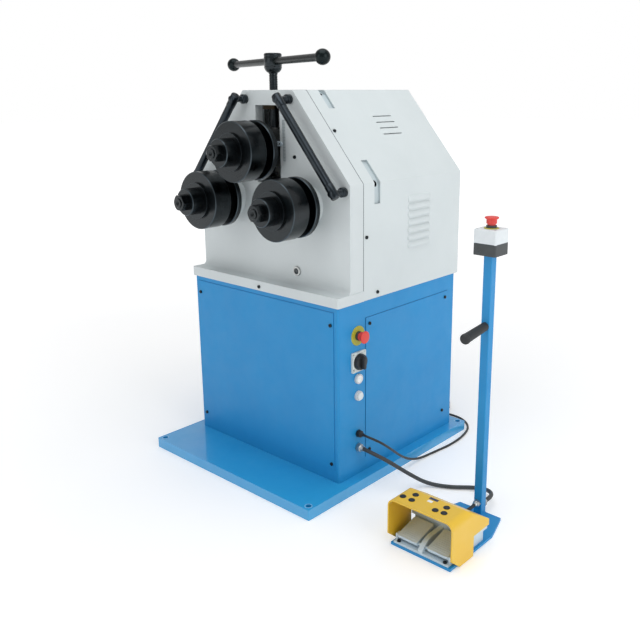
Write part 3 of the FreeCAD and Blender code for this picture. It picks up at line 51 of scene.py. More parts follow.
# %% [markdown]
# ## Camera
# A product view from the machine's right front corner, a little above the rolls. Perspective
# could be guessed by trying angles, but a camera is fixed by its place, yaw, pitch and focal
# length, so those are written down. A small shift moves the picture without tilting the uprights.

# %% Camera
IMAGE_SIDE = 640
FOCAL_PIXELS = 760.7
SENSOR = 36.0
CAMERA_PLACE = (1773.3, -1824.0, 1213.7)
YAW, PITCH, ROLL = 0.7200, 0.2484, -0.0037
AXIS_PIXEL = (350.5, 285.4)

camera = bpy.data.objects.new("camera", bpy.data.cameras.new("camera"))
bpy.context.scene.collection.objects.link(camera)
camera.location = Vector(CAMERA_PLACE) * MM
camera.rotation_mode = "QUATERNION"
camera.rotation_quaternion = (Euler((math.pi / 2 - PITCH, 0, YAW)).to_quaternion()
                              @ Quaternion((0, 0, 1), ROLL))
camera.data.sensor_width = SENSOR
camera.data.lens = FOCAL_PIXELS * SENSOR / IMAGE_SIDE
camera.data.shift_x = (IMAGE_SIDE / 2 - AXIS_PIXEL[0]) / IMAGE_SIDE
camera.data.shift_y = (AXIS_PIXEL[1] - IMAGE_SIDE / 2) / IMAGE_SIDE
camera.data.clip_end = 50
bpy.context.scene.camera = camera
print("lens %.1f mm, shift %.3f %.3f" % (camera.data.lens, camera.data.shift_x,
                                         camera.data.shift_y))

# %% [markdown]
# ## Shader helpers
# Every finish below is a small node tree. One function turns the sRGB hex values that painters
# use into the linear numbers that Blender adds up, one adds a node with its settings and links,
# and three short ones start a material, give a pattern its real size and join colour, gloss and
# relief to the shader. A function for each kind of node would hide what a material does.

# %% Colour and node helpers


def linear(code):
    """Linear RGBA from an sRGB hex value."""
    parts = [int(code[i:i + 2], 16) / 255 for i in (1, 3, 5)]
    return [p / 12.92 if p <= 0.04045 else ((p + 0.055) / 1.055) ** 2.4 for p in parts] + [1.0]


def add(tree, kind, inputs=None, **settings):
    """One node: settings are its own properties, inputs are values or sockets to link."""
    made = tree.nodes.new(kind)
    for name, value in settings.items():
        setattr(made, name, value)
    for key, value in (inputs or {}).items():
        if isinstance(value, bpy.types.NodeSocket):
            tree.links.new(value, made.inputs[key])
        else:
            made.inputs[key].default_value = value
    return made


def blank(name):
    """New material with a Principled shader, and its node tree."""
    material = bpy.data.materials.new(name)
    material.use_nodes = True
    return material, material.node_tree


def finished(material, tint, gloss, relief, plain):
    """Joins colour, roughness and relief to the shader and sets its plain sockets."""
    shader = material.node_tree.nodes["Principled BSDF"]
    for made, output, socket in ((tint, 2, "Base Color"), (gloss, "Result", "Roughness"),
                                 (relief, "Normal", "Normal")):
        material.node_tree.links.new(made.outputs[output], shader.inputs[socket])
    for socket, value in plain.items():
        shader.inputs[socket].default_value = value
    return material


def per_metre(millimetres):
    """Texture scale that gives one feature every so many millimetres."""
    return 1000.0 / millimetres


print("mid grey #808080 is", round(linear("#808080")[0], 3), "linear")

# %% [markdown]
# ## Cords
# Three flexible pieces leave the machine. The mains lead is 8 mm black PVC flex, stiff enough to
# droop from its gland and then run along the floor, and its spare length is tied up in a round
# coil behind the cabinet with the plug beside it. The hose is 13 mm armoured conduit to the foot
# station, and a short 10 mm lead joins the post to the foot switch. Each could be a chain of
# cylinders, but flex has no corners, so each is one NURBS spline through a few given points.

# %% Cord finishes


def jacket(name, base, worn, ring_mm, ring_depth, roughness):
    """Extruded PVC jacket (IOR 1.53): fine rings across it and slight scuffing."""
    material, tree = blank(name)
    place = add(tree, "ShaderNodeTexCoord").outputs["Object"]
    scuff = add(tree, "ShaderNodeTexNoise", {"Vector": place, "Scale": per_metre(14.0),
                                             "Detail": 4.0})
    tint = add(tree, "ShaderNodeMix", {"Factor": scuff.outputs["Fac"], 6: linear(base),
                                       7: linear(worn)}, data_type="RGBA")
    gloss = add(tree, "ShaderNodeMapRange", {"Value": scuff.outputs["Fac"],
                                             "To Min": roughness - 0.08,
                                             "To Max": roughness + 0.1})
    rings = add(tree, "ShaderNodeTexVoronoi", {"Vector": place, "Scale": per_metre(ring_mm)})
    relief = add(tree, "ShaderNodeBump", {"Height": rings.outputs["Distance"],
                                          "Strength": 0.35, "Distance": ring_depth * MM})
    return finished(material, tint, gloss, relief, {"IOR": 1.53})


flex_pvc = jacket("flex_pvc_black_extruded", "#17191A", "#2A2D2F", 2.5, 0.05, 0.42)
conduit_pvc = jacket("conduit_pvc_grey_black_extruded", "#26292B", "#45494C", 4.0, 0.1, 0.5)
print("cord finishes:", flex_pvc.name, conduit_pvc.name)

# %% [markdown]
# A coil's turns are points of the same spline. They are worked out here: a turn is a circle that
# steps to the next place over its last part, inwards on the floor and outwards on the next layer,
# as a lead that somebody winds round their hand and lays down.

# %% Mains lead
MAINS_ROUTE = (
    (356.0, -150.0, 174.0), (377.0, -150.0, 173.0), (397.0, -139.0, 165.0), (407.0, -113.0, 146.0),
    (405.0, -66.0, 108.0), (397.0, -12.0, 64.0), (391.0, 44.0, 28.0), (389.0, 104.0, 5.5),
    (397.0, 178.0, 4.3), (409.0, 268.0, 4.3), (404.0, 356.0, 4.3), (378.0, 436.0, 4.3),
    (318.0, 482.0, 4.3), (252.0, 484.0, 4.3), (215.0, 470.0, 4.3))
CORD_R = 4.0
COIL = (170.0, 510.0)
TURN_POINTS = 18
COIL_START = math.radians(-62)
TURNS = ((53.2, 4.3), (45.2, 4.3), (37.2, 4.3), (37.3, 12.6), (45.3, 12.6), (53.3, 12.6),
         (53.2, 20.9), (45.2, 20.9), (45.0, 20.9))
PLUG_TAIL = ((160.0, 464.3, 20.9), (148.0, 464.0, 21.6), (134.0, 464.0, 23.2))


def coil_points():
    """Turns wound clockwise from the lead's arrival, each stepping over its last third."""
    swell = 1 / (0.75 + 0.25 * math.cos(2 * math.pi / TURN_POINTS))
    found = []
    for i in range((len(TURNS) - 1) * TURN_POINTS + 2):
        turn, part = divmod(i / TURN_POINTS, 1.0)
        here = TURNS[int(turn)]
        after = TURNS[min(int(turn) + 1, len(TURNS) - 1)]
        step = max(0.0, (part - 0.66) / 0.34)
        step = step * step * (3 - 2 * step)
        radius = (here[0] + (after[0] - here[0]) * step) * swell
        height = here[1] + (after[1] - here[1]) * step
        angle = COIL_START - 2 * math.pi * i / TURN_POINTS
        found.append((COIL[0] + radius * math.cos(angle), COIL[1] + radius * math.sin(angle),
                      height))
    return found


def cord_curve(name, points, radius, material):
    """Round cord on one NURBS spline, its points given in millimetres."""
    curve = bpy.data.curves.new(name, "CURVE")
    curve.dimensions = "3D"
    curve.bevel_depth = radius * MM
    curve.bevel_resolution = 3
    curve.resolution_u = 8
    curve.use_fill_caps = True
    spline = curve.splines.new("NURBS")
    spline.points.add(len(points) - 1)
    for target, point in zip(spline.points, points):
        target.co = (*(Vector(point) * MM), 1.0)
    spline.order_u = 3
    spline.use_endpoint_u = True
    curve.materials.append(material)
    made = bpy.data.objects.new(name, curve)
    bpy.context.scene.collection.objects.link(made)
    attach(made, "root")
    return made


mains_lead = cord_curve("mains_lead", [*MAINS_ROUTE, *coil_points(), *PLUG_TAIL], CORD_R, flex_pvc)
print("mains lead:", len(mains_lead.data.splines[0].points), "points in one spline")

# %% [markdown]
# The hose and the short lead are plain routes: out of the gland, down under their own weight, and
# into the next gland. Their points are the CAD route's own points.

# %% Hose and short lead
HOSE_ROUTE = (
    (356.0, -150.0, 127.0), (397.0, -150.0, 124.0), (438.0, -130.0, 105.0), (476.0, -78.0, 56.0),
    (512.0, -22.0, 9.5), (578.0, 9.0, 7.2), (630.0, 52.0, 7.6), (669.0, 59.0, 15.0),
    (706.0, 43.0, 24.0), (728.0, 10.0, 30.0), (728.0, -29.0, 32.0))
LEAD_ROUTE = (
    (728.0, -88.0, 45.0), (727.0, -113.0, 42.0), (722.0, -141.0, 40.0), (717.0, -166.0, 41.0))
HOSE_R = 6.5
LEAD_R = 5.0
hose = cord_curve("foot_station_hose", HOSE_ROUTE, HOSE_R, conduit_pvc)
short_lead = cord_curve("foot_switch_lead", LEAD_ROUTE, LEAD_R, flex_pvc)
print("hose points:", len(HOSE_ROUTE), "short lead points:", len(LEAD_ROUTE))

# %% [markdown]
# ## Shape helpers
# Turned, drawn and pressed pieces need two ways of making a mesh: a profile turned about an axis,
# and a row of sections joined one to the next. Each gives points and faces in millimetres, so
# shapes can be moved and joined before they become one mesh object.

# %% Shapes
TINY = 1e-6


def turned(profile, steps=48, section=None, closed=False):
    """Shape turned about +Z from (radius, height) pairs; a third value lets section shape it."""
    points, rings = [], []
    for radius, height, *shaped in profile:
        count = 1 if radius < TINY else steps
        ring = []
        for i in range(count):
            angle = 2 * math.pi * i / steps
            reach = radius * (section(angle) if shaped else 1.0)
            ring.append(len(points))
            points.append((reach * math.cos(angle), reach * math.sin(angle), height))
        rings.append(ring)
    if closed:
        rings.append(rings[0])
    faces = []
    for low, high in zip(rings, rings[1:]):
        for i in range(steps):
            j = (i + 1) % steps
            corners = [low[i % len(low)], low[j % len(low)], high[j % len(high)],
                       high[i % len(high)]]
            corners = list(dict.fromkeys(corners))
            if len(corners) > 2:
                faces.append(corners)
    return points, faces


def loft(sections):
    """Closed shape through equal rings of points, with a flat face at each end."""
    count = len(sections[0])
    points = [p for ring in sections for p in ring]
    faces = [list(range(count)), list(range(len(points) - count, len(points)))]
    for row in range(len(sections) - 1):
        for i in range(count):
            j = (i + 1) % count
            faces.append([row * count + i, row * count + j, (row + 1) * count + j,
                          (row + 1) * count + i])
    return points, faces


def block(low, high):
    """Straight block between two opposite corners."""
    (x0, y0, z0), (x1, y1, z1) = low, high
    return loft([[(x0, y0, z), (x1, y0, z), (x1, y1, z), (x0, y1, z)] for z in (z0, z1)])


def moved(shape, origin, toward=(0, 0, 1), turn=0.0):
    """Shape with its +Z turned toward a direction and its zero moved to origin."""
    pose = Vector(toward).to_track_quat("Z", "Y") @ Quaternion((0, 0, 1), turn)
    return [pose @ Vector(p) + Vector(origin) for p in shape[0]], shape[1]


def joined(*shapes):
    """Several shapes as one."""
    points, faces = [], []
    for more, sides in shapes:
        faces += [[i + len(points) for i in side] for side in sides]
        points += list(more)
    return points, faces


def mesh_of(name, shape, smooth=35.0):
    """Mesh in metres, doubles merged and faces outward; edges sharper than smooth stay sharp."""
    mesh = bpy.data.meshes.new(name)
    mesh.from_pydata([tuple(Vector(p) * MM) for p in shape[0]], [], shape[1])
    work = bmesh.new()
    work.from_mesh(mesh)
    bmesh.ops.remove_doubles(work, verts=work.verts, dist=TINY)
    bmesh.ops.recalc_face_normals(work, faces=work.faces)
    work.to_mesh(mesh)
    work.free()
    mesh.shade_smooth()
    mesh.set_sharp_from_angle(angle=math.radians(smooth))
    return mesh


def piece(name, shape, finish, body, replaces=(), smooth=35.0, bevel=0.0):
    """A finished mesh piece at the origin that rides on a body."""
    made = bpy.data.objects.new(name, mesh_of(name, shape, smooth))
    bpy.context.scene.collection.objects.link(made)
    made.data.materials.append(finish)
    if bevel:
        soft = made.modifiers.new("edge", "BEVEL")
        soft.width = bevel * MM
        soft.segments = 3
        soft.limit_method = "ANGLE"
        soft.angle_limit = math.radians(40)
        soft.harden_normals = True
    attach(made, body)
    if replaces:
        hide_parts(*replaces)
    return made


def hexagon(angle):
    """Reach of a hexagon whose flats lie at distance one."""
    return 1 / math.cos((angle % (math.pi / 3)) - math.pi / 6)


def fluted(count, depth):
    """Section of a round with that many flutes, depth as a share of its radius."""
    return lambda angle: 1 - depth * (0.5 + 0.5 * math.cos(count * angle))


print("shape helpers ready, a hexagon corner reaches", round(hexagon(0.0), 3))

# %% [markdown]
# ## Finishes
# The object has few finishes, each used on many pieces, so each is made once. Paint is powder
# coat: a dielectric skin (IOR 1.5) with a fine orange-peel relief about 3 mm from crest to crest
# and cloudy gloss. The castings carry the same paint over sand-cast iron, so their relief is
# coarser.

# %% Paints


def painted(name, base, faded, peel_mm, depth_mm, roughness, clear=0.25, clear_rough=0.25):
    """Powder coat or enamel: cloudy tint, orange-peel relief and uneven gloss."""
    material, tree = blank(name)
    place = add(tree, "ShaderNodeTexCoord").outputs["Object"]
    cloud = add(tree, "ShaderNodeTexNoise", {"Vector": place, "Scale": per_metre(160.0),
                                             "Detail": 5.0, "Roughness": 0.6})
    tint = add(tree, "ShaderNodeMix", {"Factor": cloud.outputs["Fac"], 6: linear(base),
                                       7: linear(faded)}, data_type="RGBA")
    handled = add(tree, "ShaderNodeTexNoise", {"Vector": place, "Scale": per_metre(45.0),
                                               "Detail": 3.0})
    gloss = add(tree, "ShaderNodeMapRange", {"Value": handled.outputs["Fac"],
                                             "From Min": 0.3, "From Max": 0.7,
                                             "To Min": roughness - 0.06,
                                             "To Max": roughness + 0.08})
    peel = add(tree, "ShaderNodeTexNoise", {"Vector": place, "Scale": per_metre(peel_mm),
                                            "Detail": 2.0})
    relief = add(tree, "ShaderNodeBump", {"Height": peel.outputs["Fac"], "Strength": 0.5,
                                          "Distance": depth_mm * MM})
    return finished(material, tint, gloss, relief,
                    {"IOR": 1.5, "Coat Weight": clear, "Coat Roughness": clear_rough})


blue_coat = painted("powder_coat_blue_on_sheet_steel", "#0683C3", "#138FCD", 3.0, 0.05, 0.5,
                    0.06)
# The base plate has the cabinet's blue made paler, painted light on its upward face, and it still
# mirrors the cabinet in its smooth coat.
base_coat = painted("powder_coat_blue_lit_base", "#1C97D4", "#2FA3DB", 3.0, 0.02, 0.42, 0.9, 0.1)
grey_sheet = painted("powder_coat_pale_grey_on_sheet_steel", "#C8D1D3", "#D2DADC", 3.0, 0.05, 0.46)
grey_cast = painted("enamel_pale_grey_on_cast_iron", "#C6CED0", "#D2D9DB", 5.0, 0.16, 0.5, 0.12)
inner_coat = painted("primer_off_white_inside", "#DEE3E2", "#E9EDEC", 4.0, 0.1, 0.6, 0.0)
yellow_coat = painted("powder_coat_yellow_on_sheet_steel", "#E2B51F", "#EBC23A", 3.0, 0.06, 0.42)
print("paints:", [m.name for m in (blue_coat, grey_sheet, grey_cast, inner_coat, yellow_coat)])

# %% [markdown]
# The rolls are turned from alloy steel and blackened in a hot oxide bath. Turning leaves rings
# round the axis: on a flat face they vary with radius, on a barrel with the place along the axis.
# A noise that reads only those two numbers draws both at once, so the distance from the shaft's
# own centre line is worked out in the tree. Real tool marks are 0.2 mm apart, far below what can
# show, so they are drawn 2.2 mm apart.

# %% Metals
OIL_ROUGHNESS = 0.2


def turned_steel(name, dark, light, x, z, ring_mm, roughness, oiled):
    """Blackened turned steel, lightly oiled, with rings about a shaft along Y at x, z."""
    material, tree = blank(name)
    place = add(tree, "ShaderNodeTexCoord").outputs["Object"]
    centred = add(tree, "ShaderNodeMapping", {"Vector": place, "Location": (-x * MM, 0, -z * MM)})
    split = add(tree, "ShaderNodeSeparateXYZ", {"Vector": centred.outputs["Vector"]})
    across = add(tree, "ShaderNodeCombineXYZ", {"X": split.outputs["X"], "Y": split.outputs["Z"]})
    radius = add(tree, "ShaderNodeVectorMath", {0: across.outputs["Vector"]}, operation="LENGTH")
    rings = add(tree, "ShaderNodeCombineXYZ", {"X": radius.outputs["Value"],
                                               "Y": split.outputs["Y"]})
    marks = add(tree, "ShaderNodeTexNoise", {"Vector": rings.outputs["Vector"],
                                             "Scale": per_metre(ring_mm), "Detail": 3.0})
    oxide = add(tree, "ShaderNodeTexNoise", {"Vector": place, "Scale": per_metre(30.0),
                                             "Detail": 5.0})
    tint = add(tree, "ShaderNodeMix", {"Factor": oxide.outputs["Fac"], 6: linear(dark),
                                       7: linear(light)}, data_type="RGBA")
    both = add(tree, "ShaderNodeMath", {0: marks.outputs["Fac"], 1: oxide.outputs["Fac"]},
               operation="ADD")
    gloss = add(tree, "ShaderNodeMapRange", {"Value": both.outputs["Value"], "From Min": 0.6,
                                             "From Max": 1.4, "To Min": roughness - 0.08,
                                             "To Max": roughness + 0.12})
    relief = add(tree, "ShaderNodeBump", {"Height": marks.outputs["Fac"], "Strength": 0.4,
                                          "Distance": 0.06 * MM})
    return finished(material, tint, gloss, relief,
                    {"Metallic": 1.0, "Coat Weight": oiled, "Coat Roughness": OIL_ROUGHNESS})


def worked_metal(name, dark, light, grain_mm, roughness, depth_mm=0.05, metallic=1.0, oiled=0.0):
    """Cast, plated or drawn metal: mottled tint and roughness over a fine grain."""
    material, tree = blank(name)
    place = add(tree, "ShaderNodeTexCoord").outputs["Object"]
    mottle = add(tree, "ShaderNodeTexNoise", {"Vector": place, "Scale": per_metre(25.0),
                                              "Detail": 5.0})
    grain = add(tree, "ShaderNodeTexNoise", {"Vector": place, "Scale": per_metre(grain_mm),
                                             "Detail": 3.0})
    tint = add(tree, "ShaderNodeMix", {"Factor": mottle.outputs["Fac"], 6: linear(dark),
                                       7: linear(light)}, data_type="RGBA")
    gloss = add(tree, "ShaderNodeMapRange", {"Value": grain.outputs["Fac"],
                                             "To Min": roughness - 0.1,
                                             "To Max": roughness + 0.1})
    relief = add(tree, "ShaderNodeBump", {"Height": grain.outputs["Fac"], "Strength": 0.45,
                                          "Distance": depth_mm * MM})
    return finished(material, tint, gloss, relief,
                    {"Metallic": metallic, "Coat Weight": oiled, "Coat Roughness": OIL_ROUGHNESS})


SHAFTS = {"top": (0.0, 1043.0), "right": (172.0, 883.5), "left": (-172.0, 883.5)}
black_rolls = {name: turned_steel("black_oxide_turned_steel_" + name, "#0F1518", "#1D272C", *at,
                                  2.2, 0.3, 0.6) for name, at in SHAFTS.items()}
black_oxide = worked_metal("black_oxide_steel", "#141A1D", "#263036", 3.0, 0.34, oiled=0.5)
black_tube = worked_metal("black_lacquered_steel_tube", "#151C21", "#27323A", 6.0, 0.32, oiled=0.5)
black_bar = worked_metal("black_oxide_steel_bar", "#0C1416", "#192526", 4.0, 0.38, oiled=0.25)
zinc = worked_metal("zinc_plated_steel", "#A7ABAC", "#C9CBC9", 2.0, 0.32)
cast_alloy = worked_metal("die_cast_aluminium", "#BCCEDA", "#D3E2EB", 2.5, 0.48, 0.08, 0.2)
motor_alloy = worked_metal("sand_cast_aluminium", "#8F9395", "#A8ACAD", 3.0, 0.55, 0.12)
grey_iron = worked_metal("grey_cast_iron_machined", "#4A4D4E", "#6A6D6D", 2.0, 0.45)
ground_steel = worked_metal("ground_steel", "#8A8F92", "#A9ADAF", 1.5, 0.25)
# The feed nut is oiled bronze, its colour darkened almost to black as painted shade inside the
# head.
shaded_gunmetal = worked_metal("gunmetal_bronze_darkened_in_shade", "#221D17", "#352D21", 2.0, 0.4)
scale_alloy = worked_metal("anodised_aluminium_strip", "#B4BEC1", "#C2CBCE", 1.5, 0.45, 0.02, 0.2)
print("metals:", len(black_rolls) + 10)

# %% [markdown]
# The switch gear is moulded. Moulded plastic (IOR 1.48 to 1.58) shows a spark-eroded grain under
# a millimetre; it is drawn at about 1.5 mm. Rubber is the same idea, rougher and darker.

# %% Plastics and rubber


def moulded(name, base, light, grain_mm, roughness, ior=1.5, soft=0.0):
    """Injection-moulded plastic or rubber: even colour, fine grain, slightly cloudy gloss."""
    material, tree = blank(name)
    place = add(tree, "ShaderNodeTexCoord").outputs["Object"]
    grain = add(tree, "ShaderNodeTexVoronoi", {"Vector": place, "Scale": per_metre(grain_mm)},
                feature="SMOOTH_F1")
    cloud = add(tree, "ShaderNodeTexNoise", {"Vector": place, "Scale": per_metre(18.0),
                                             "Detail": 4.0})
    tint = add(tree, "ShaderNodeMix", {"Factor": cloud.outputs["Fac"], 6: linear(base),
                                       7: linear(light)}, data_type="RGBA")
    gloss = add(tree, "ShaderNodeMapRange", {"Value": cloud.outputs["Fac"],
                                             "To Min": roughness - 0.07,
                                             "To Max": roughness + 0.07})
    relief = add(tree, "ShaderNodeBump", {"Height": grain.outputs["Distance"], "Strength": 0.25,
                                          "Distance": 0.03 * MM})
    return finished(material, tint, gloss, relief,
                    {"IOR": ior, "Subsurface Weight": soft, "Subsurface Scale": 2 * MM})


red_nylon = moulded("glass_filled_nylon_red", "#D2352F", "#DE4A42", 1.5, 0.36)
disc_abs = moulded("abs_olive_yellow", "#A5A32B", "#B6B23C", 1.5, 0.45)
black_nylon = moulded("nylon_black", "#14171A", "#1C2024", 1.5, 0.4)
dark_abs = moulded("abs_dark_grey", "#34383A", "#43484A", 1.6, 0.48)
white_abs = moulded("abs_off_white", "#D3DADE", "#E0E6E9", 1.6, 0.42)
plate_abs = moulded("abs_pale_grey_green", "#C6D2CF", "#D4DEDB", 1.6, 0.42)
milky_pc = moulded("polycarbonate_milky_white", "#E8ECEE", "#F6F8F9", 2.0, 0.22, 1.58, 0.25)
clear_cap = moulded("acetal_pale_grey", "#C9CFD2", "#DADFE1", 1.8, 0.3, 1.48)
grip_rubber = moulded("vulcanised_rubber_black", "#1B1E20", "#2B2F32", 1.4, 0.62, 1.52)
mark_ink = moulded("printing_ink_black", "#1A1C1E", "#26292B", 1.5, 0.5)
rating_white = moulded("printing_ink_white", "#E9ECEC", "#F4F5F5", 1.5, 0.5)
label_foil = moulded("polyester_foil_dark_blue", "#27304E", "#343D5C", 2.0, 0.35)
dark_glass = moulded("sight_glass_oil_dark", "#20262A", "#39434A", 3.0, 0.12, 1.52)
# The dark strip and the two dark blues below are painted shadow in the gaps round joints and
# panels.
gap_shadow = moulded("painted_gap_shadow_dark", "#2C3A44", "#394A56", 2.0, 0.7)
dark_gap_shade = moulded("painted_gap_shade_dark_blue", "#1D5886", "#266796", 2.0, 0.7)
blue_gap_shade = moulded("painted_gap_shade_blue", "#2070AA", "#2A7DB8", 2.0, 0.6)
print("plastics ready")

# %% [markdown]
# ## Finishes on the CAD pieces
# Most pieces are already the right shape, because sheet, castings and turned parts are exactly
# what the CAD draws. They stay as they are and only get a finish on their material slots.

# %% Dress the CAD nodes
DRESSED = (
    (base_coat, ("base_plate",)),
    (blue_coat, ("cabinet_shell", "front_panel", "side_panel", "station_stand")),
    (grey_cast, ("head_casting", "bearing_housings")),
    (grey_sheet, ("sheet_cover",)),
    (inner_coat, ("inner_plate",)),
    (grey_iron, ("carriage",)),
    (ground_steel, ("guide_rails", "shaft_bearings", "carriage_bearings", "right_gear",
                    "left_gear", "drive_pinion")),
    (shaded_gunmetal, ("feed_nut",)),
    (motor_alloy, ("gearmotor",)),
    (cast_alloy, ("pedal_base", "pedal_left", "pedal_right")),
    (yellow_coat, ("pedal_shield",)),
    (red_nylon, ("estop_button", "station_estop")),
    (disc_abs, ("estop_discs",)),
    (white_abs, ("push_button", "station_lid")),
    (dark_abs, ("station_box", "control_bezels")),
    (zinc, ("sight_plug", "hose_glands")),
    (black_nylon, ("mains_gland", "switch_knob")),
    (grip_rubber, ("post_grip", "mains_plug")),
    (black_oxide, ("panel_screws", "feed_screw")),
    (black_tube, ("grab_handles", "t_bar")),
    (plate_abs, ("switch_plate",)),
    (milky_pc, ("pilot_lamp",)))
ROLL_PARTS = ("shaft", "ring", "disc", "sleeve", "nut")


def dress(name, finish):
    """Puts a finish on every material slot of a CAD node."""
    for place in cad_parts[name].material_slots:
        place.material = finish


for finish, names in DRESSED:
    for name in names:
        dress(name, finish)
for roll, finish in black_rolls.items():
    for part in ROLL_PARTS:
        dress(roll + "_" + part, finish)
print("dressed", sum(len(names) for _, names in DRESSED) + len(black_rolls) * len(ROLL_PARTS),
      "nodes")

# %% [markdown]
# ## Node trees for what repeats
# Screws, louvres, ribs, strokes and weld ripples are one small shape many times over. Copying them
# in a loop works, but a Geometry Nodes tree keeps the rule apart from the shape. Two trees serve
# all of them: one stamps an item on every point of a marks mesh and turns it to face outward, one
# lays an item out in a straight row. Both end in Realize Instances and Set Material, and the
# result is kept as one plain mesh, so that nothing depends on the tree afterwards.

# %% Node trees


def new_tree(name, *inputs):
    """Empty geometry tree with named inputs: (tree, group input node, group output node)."""
    tree = bpy.data.node_groups.new(name, "GeometryNodeTree")
    tree.interface.new_socket("Geometry", in_out="INPUT", socket_type="NodeSocketGeometry")
    for title, kind in inputs:
        tree.interface.new_socket(title, in_out="INPUT", socket_type="NodeSocket" + kind)
    tree.interface.new_socket("Geometry", in_out="OUTPUT", socket_type="NodeSocketGeometry")
    return tree, add(tree, "NodeGroupInput").outputs, add(tree, "NodeGroupOutput")


def ended(tree, geometry, finish, out):
    """Realize Instances and Set Material at the end of a tree."""
    solid = add(tree, "GeometryNodeRealizeInstances", {"Geometry": geometry})
    coated = add(tree, "GeometryNodeSetMaterial", {"Geometry": solid.outputs["Geometry"],
                                                   "Material": finish})
    tree.links.new(coated.outputs["Geometry"], out.inputs["Geometry"])


stamp_tree, given, last = new_tree("stamp_item_on_marks", ("Item", "Object"), ("Size", "Float"),
                                   ("Finish", "Material"))
item = add(stamp_tree, "GeometryNodeObjectInfo", {"Object": given["Item"]})
outward = add(stamp_tree, "GeometryNodeInputNamedAttribute", {"Name": "out"},
              data_type="FLOAT_VECTOR")
facing = add(stamp_tree, "FunctionNodeAlignRotationToVector",
             {"Vector": outward.outputs["Attribute"]}, axis="Z")
stamps = add(stamp_tree, "GeometryNodeInstanceOnPoints",
             {"Points": given["Geometry"], "Instance": item.outputs["Geometry"],
              "Rotation": facing.outputs["Rotation"], "Scale": given["Size"]})
ended(stamp_tree, stamps.outputs["Instances"], given["Finish"], last)

row_tree, given, last = new_tree("item_in_a_row", ("Item", "Object"), ("Count", "Int"),
                                 ("Start", "Vector"), ("Step", "Vector"), ("Finish", "Material"))
item = add(row_tree, "GeometryNodeObjectInfo", {"Object": given["Item"]})
line = add(row_tree, "GeometryNodeMeshLine", {"Count": given["Count"],
                                              "Start Location": given["Start"],
                                              "Offset": given["Step"]})
copies = add(row_tree, "GeometryNodeInstanceOnPoints", {"Points": line.outputs["Mesh"],
                                                        "Instance": item.outputs["Geometry"]})
ended(row_tree, copies.outputs["Instances"], given["Finish"], last)
print("trees:", stamp_tree.name, row_tree.name)

# %% Bake helper


def item_of(name, shape, smooth=35.0):
    """The small shape that a tree repeats; it is deleted once the tree has run."""
    made = bpy.data.objects.new(name, mesh_of(name, shape, smooth))
    bpy.context.scene.collection.objects.link(made)
    return made


def marks_of(marks):
    """Mesh of loose points with the direction that each faces, from (place, direction) pairs."""
    mesh = bpy.data.meshes.new("marks")
    mesh.from_pydata([tuple(Vector(place) * MM) for place, _ in marks], [], [])
    facing_out = mesh.attributes.new("out", "FLOAT_VECTOR", "POINT")
    for i, (_, direction) in enumerate(marks):
        facing_out.data[i].vector = Vector(direction).normalized()
    return mesh


def grown(name, marks, tree, settings, body, replaces=()):
    """Runs a tree, keeps its result as one plain mesh on a body and drops the tree's carrier."""
    carrier = bpy.data.objects.new(name + "_carrier", marks_of(marks))
    bpy.context.scene.collection.objects.link(carrier)
    grow = carrier.modifiers.new("grow", "NODES")
    grow.node_group = tree
    for socket in tree.interface.items_tree:
        if socket.in_out == "INPUT" and socket.name in settings:
            grow[socket.identifier] = settings[socket.name]
    seen = carrier.evaluated_get(bpy.context.evaluated_depsgraph_get())
    made = bpy.data.objects.new(name, bpy.data.meshes.new_from_object(seen))
    bpy.context.scene.collection.objects.link(made)
    bpy.data.objects.remove(carrier)
    if "Item" in settings:
        bpy.data.objects.remove(settings["Item"])
    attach(made, body)
    if replaces:
        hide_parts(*replaces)
    return made


def stamped(name, marks, item, finish, size=1.0, replaces=()):
    """Item stamped on every mark, on the body that stands still."""
    return grown(name, marks, stamp_tree, {"Item": item, "Size": size, "Finish": finish}, "root",
                 replaces)


def row_of(name, item, count, start, step, finish, body):
    """Item laid out count times from start, each a step further, both in millimetres."""
    return grown(name, [((0, 0, 0), (0, 0, 1))], row_tree,
                 {"Item": item, "Count": count, "Start": tuple(v * MM for v in start),
                  "Step": tuple(v * MM for v in step), "Finish": finish}, body)


# %% [markdown]
# ## Screws
# The panels and the cover are held by small socket cap screws in black oxide, with heads 11 mm
# across. The head is a turned cap with a hexagon socket; the same tree stamps it wherever a screw
# sits, facing out of the sheet that it holds.

# %% Socket screws
FRONT, BACK, RIGHT, UP = (0, -1, 0), (0, 1, 0), (1, 0, 0), (0, 0, 1)
SCREW_PROFILE = [(0, 1.4), (2.4, 1.4, 1), (2.4, 3.9, 1), (4.6, 4.0), (5.2, 3.8), (5.5, 3.3),
                 (5.5, 0), (0, 0)]
PANEL_FRONT, PANEL_SIDE, PANEL_BACK = -242, 336, 373
CASTING_FACE, FLANGE_FRONT, COVER_SIDE, COVER_BACK = -188, -245, 338, 382
SLOPE_OUT = (0.7631, 0.6463)
PEDALS_X, PEDAL_FLOOR = 722, 14
screw_marks = [((x, PANEL_FRONT, z), FRONT) for x in (-306, 306) for z in (94, 544)]
screw_marks += [((x, CASTING_FACE, 1025), FRONT) for x in (-117, 117)]
screw_marks += [((0, FLANGE_FRONT, 613), FRONT)]
for side in (-1, 1):
    screw_marks += [((side * COVER_SIDE, y, z), (side, 0, 0)) for y, z in ((-115, 795), (-62, 617))]
    screw_marks.append(((side * 212.5, -115, 1102.2), (side * SLOPE_OUT[0], 0, SLOPE_OUT[1])))
screw_marks += [((PANEL_SIDE, y, z), RIGHT) for y in (-97, 311) for z in (101, 523.5)]
screw_marks += [((PEDALS_X + x, -340, PEDAL_FLOOR), UP) for x in (-76, 76)]
screw_marks += [((x, PANEL_BACK, z), BACK) for x in (-281, 281) for z in (94, 318, 542)]
screw_marks += [((x, COVER_BACK, 617), BACK) for x in (-300, 0, 300)]
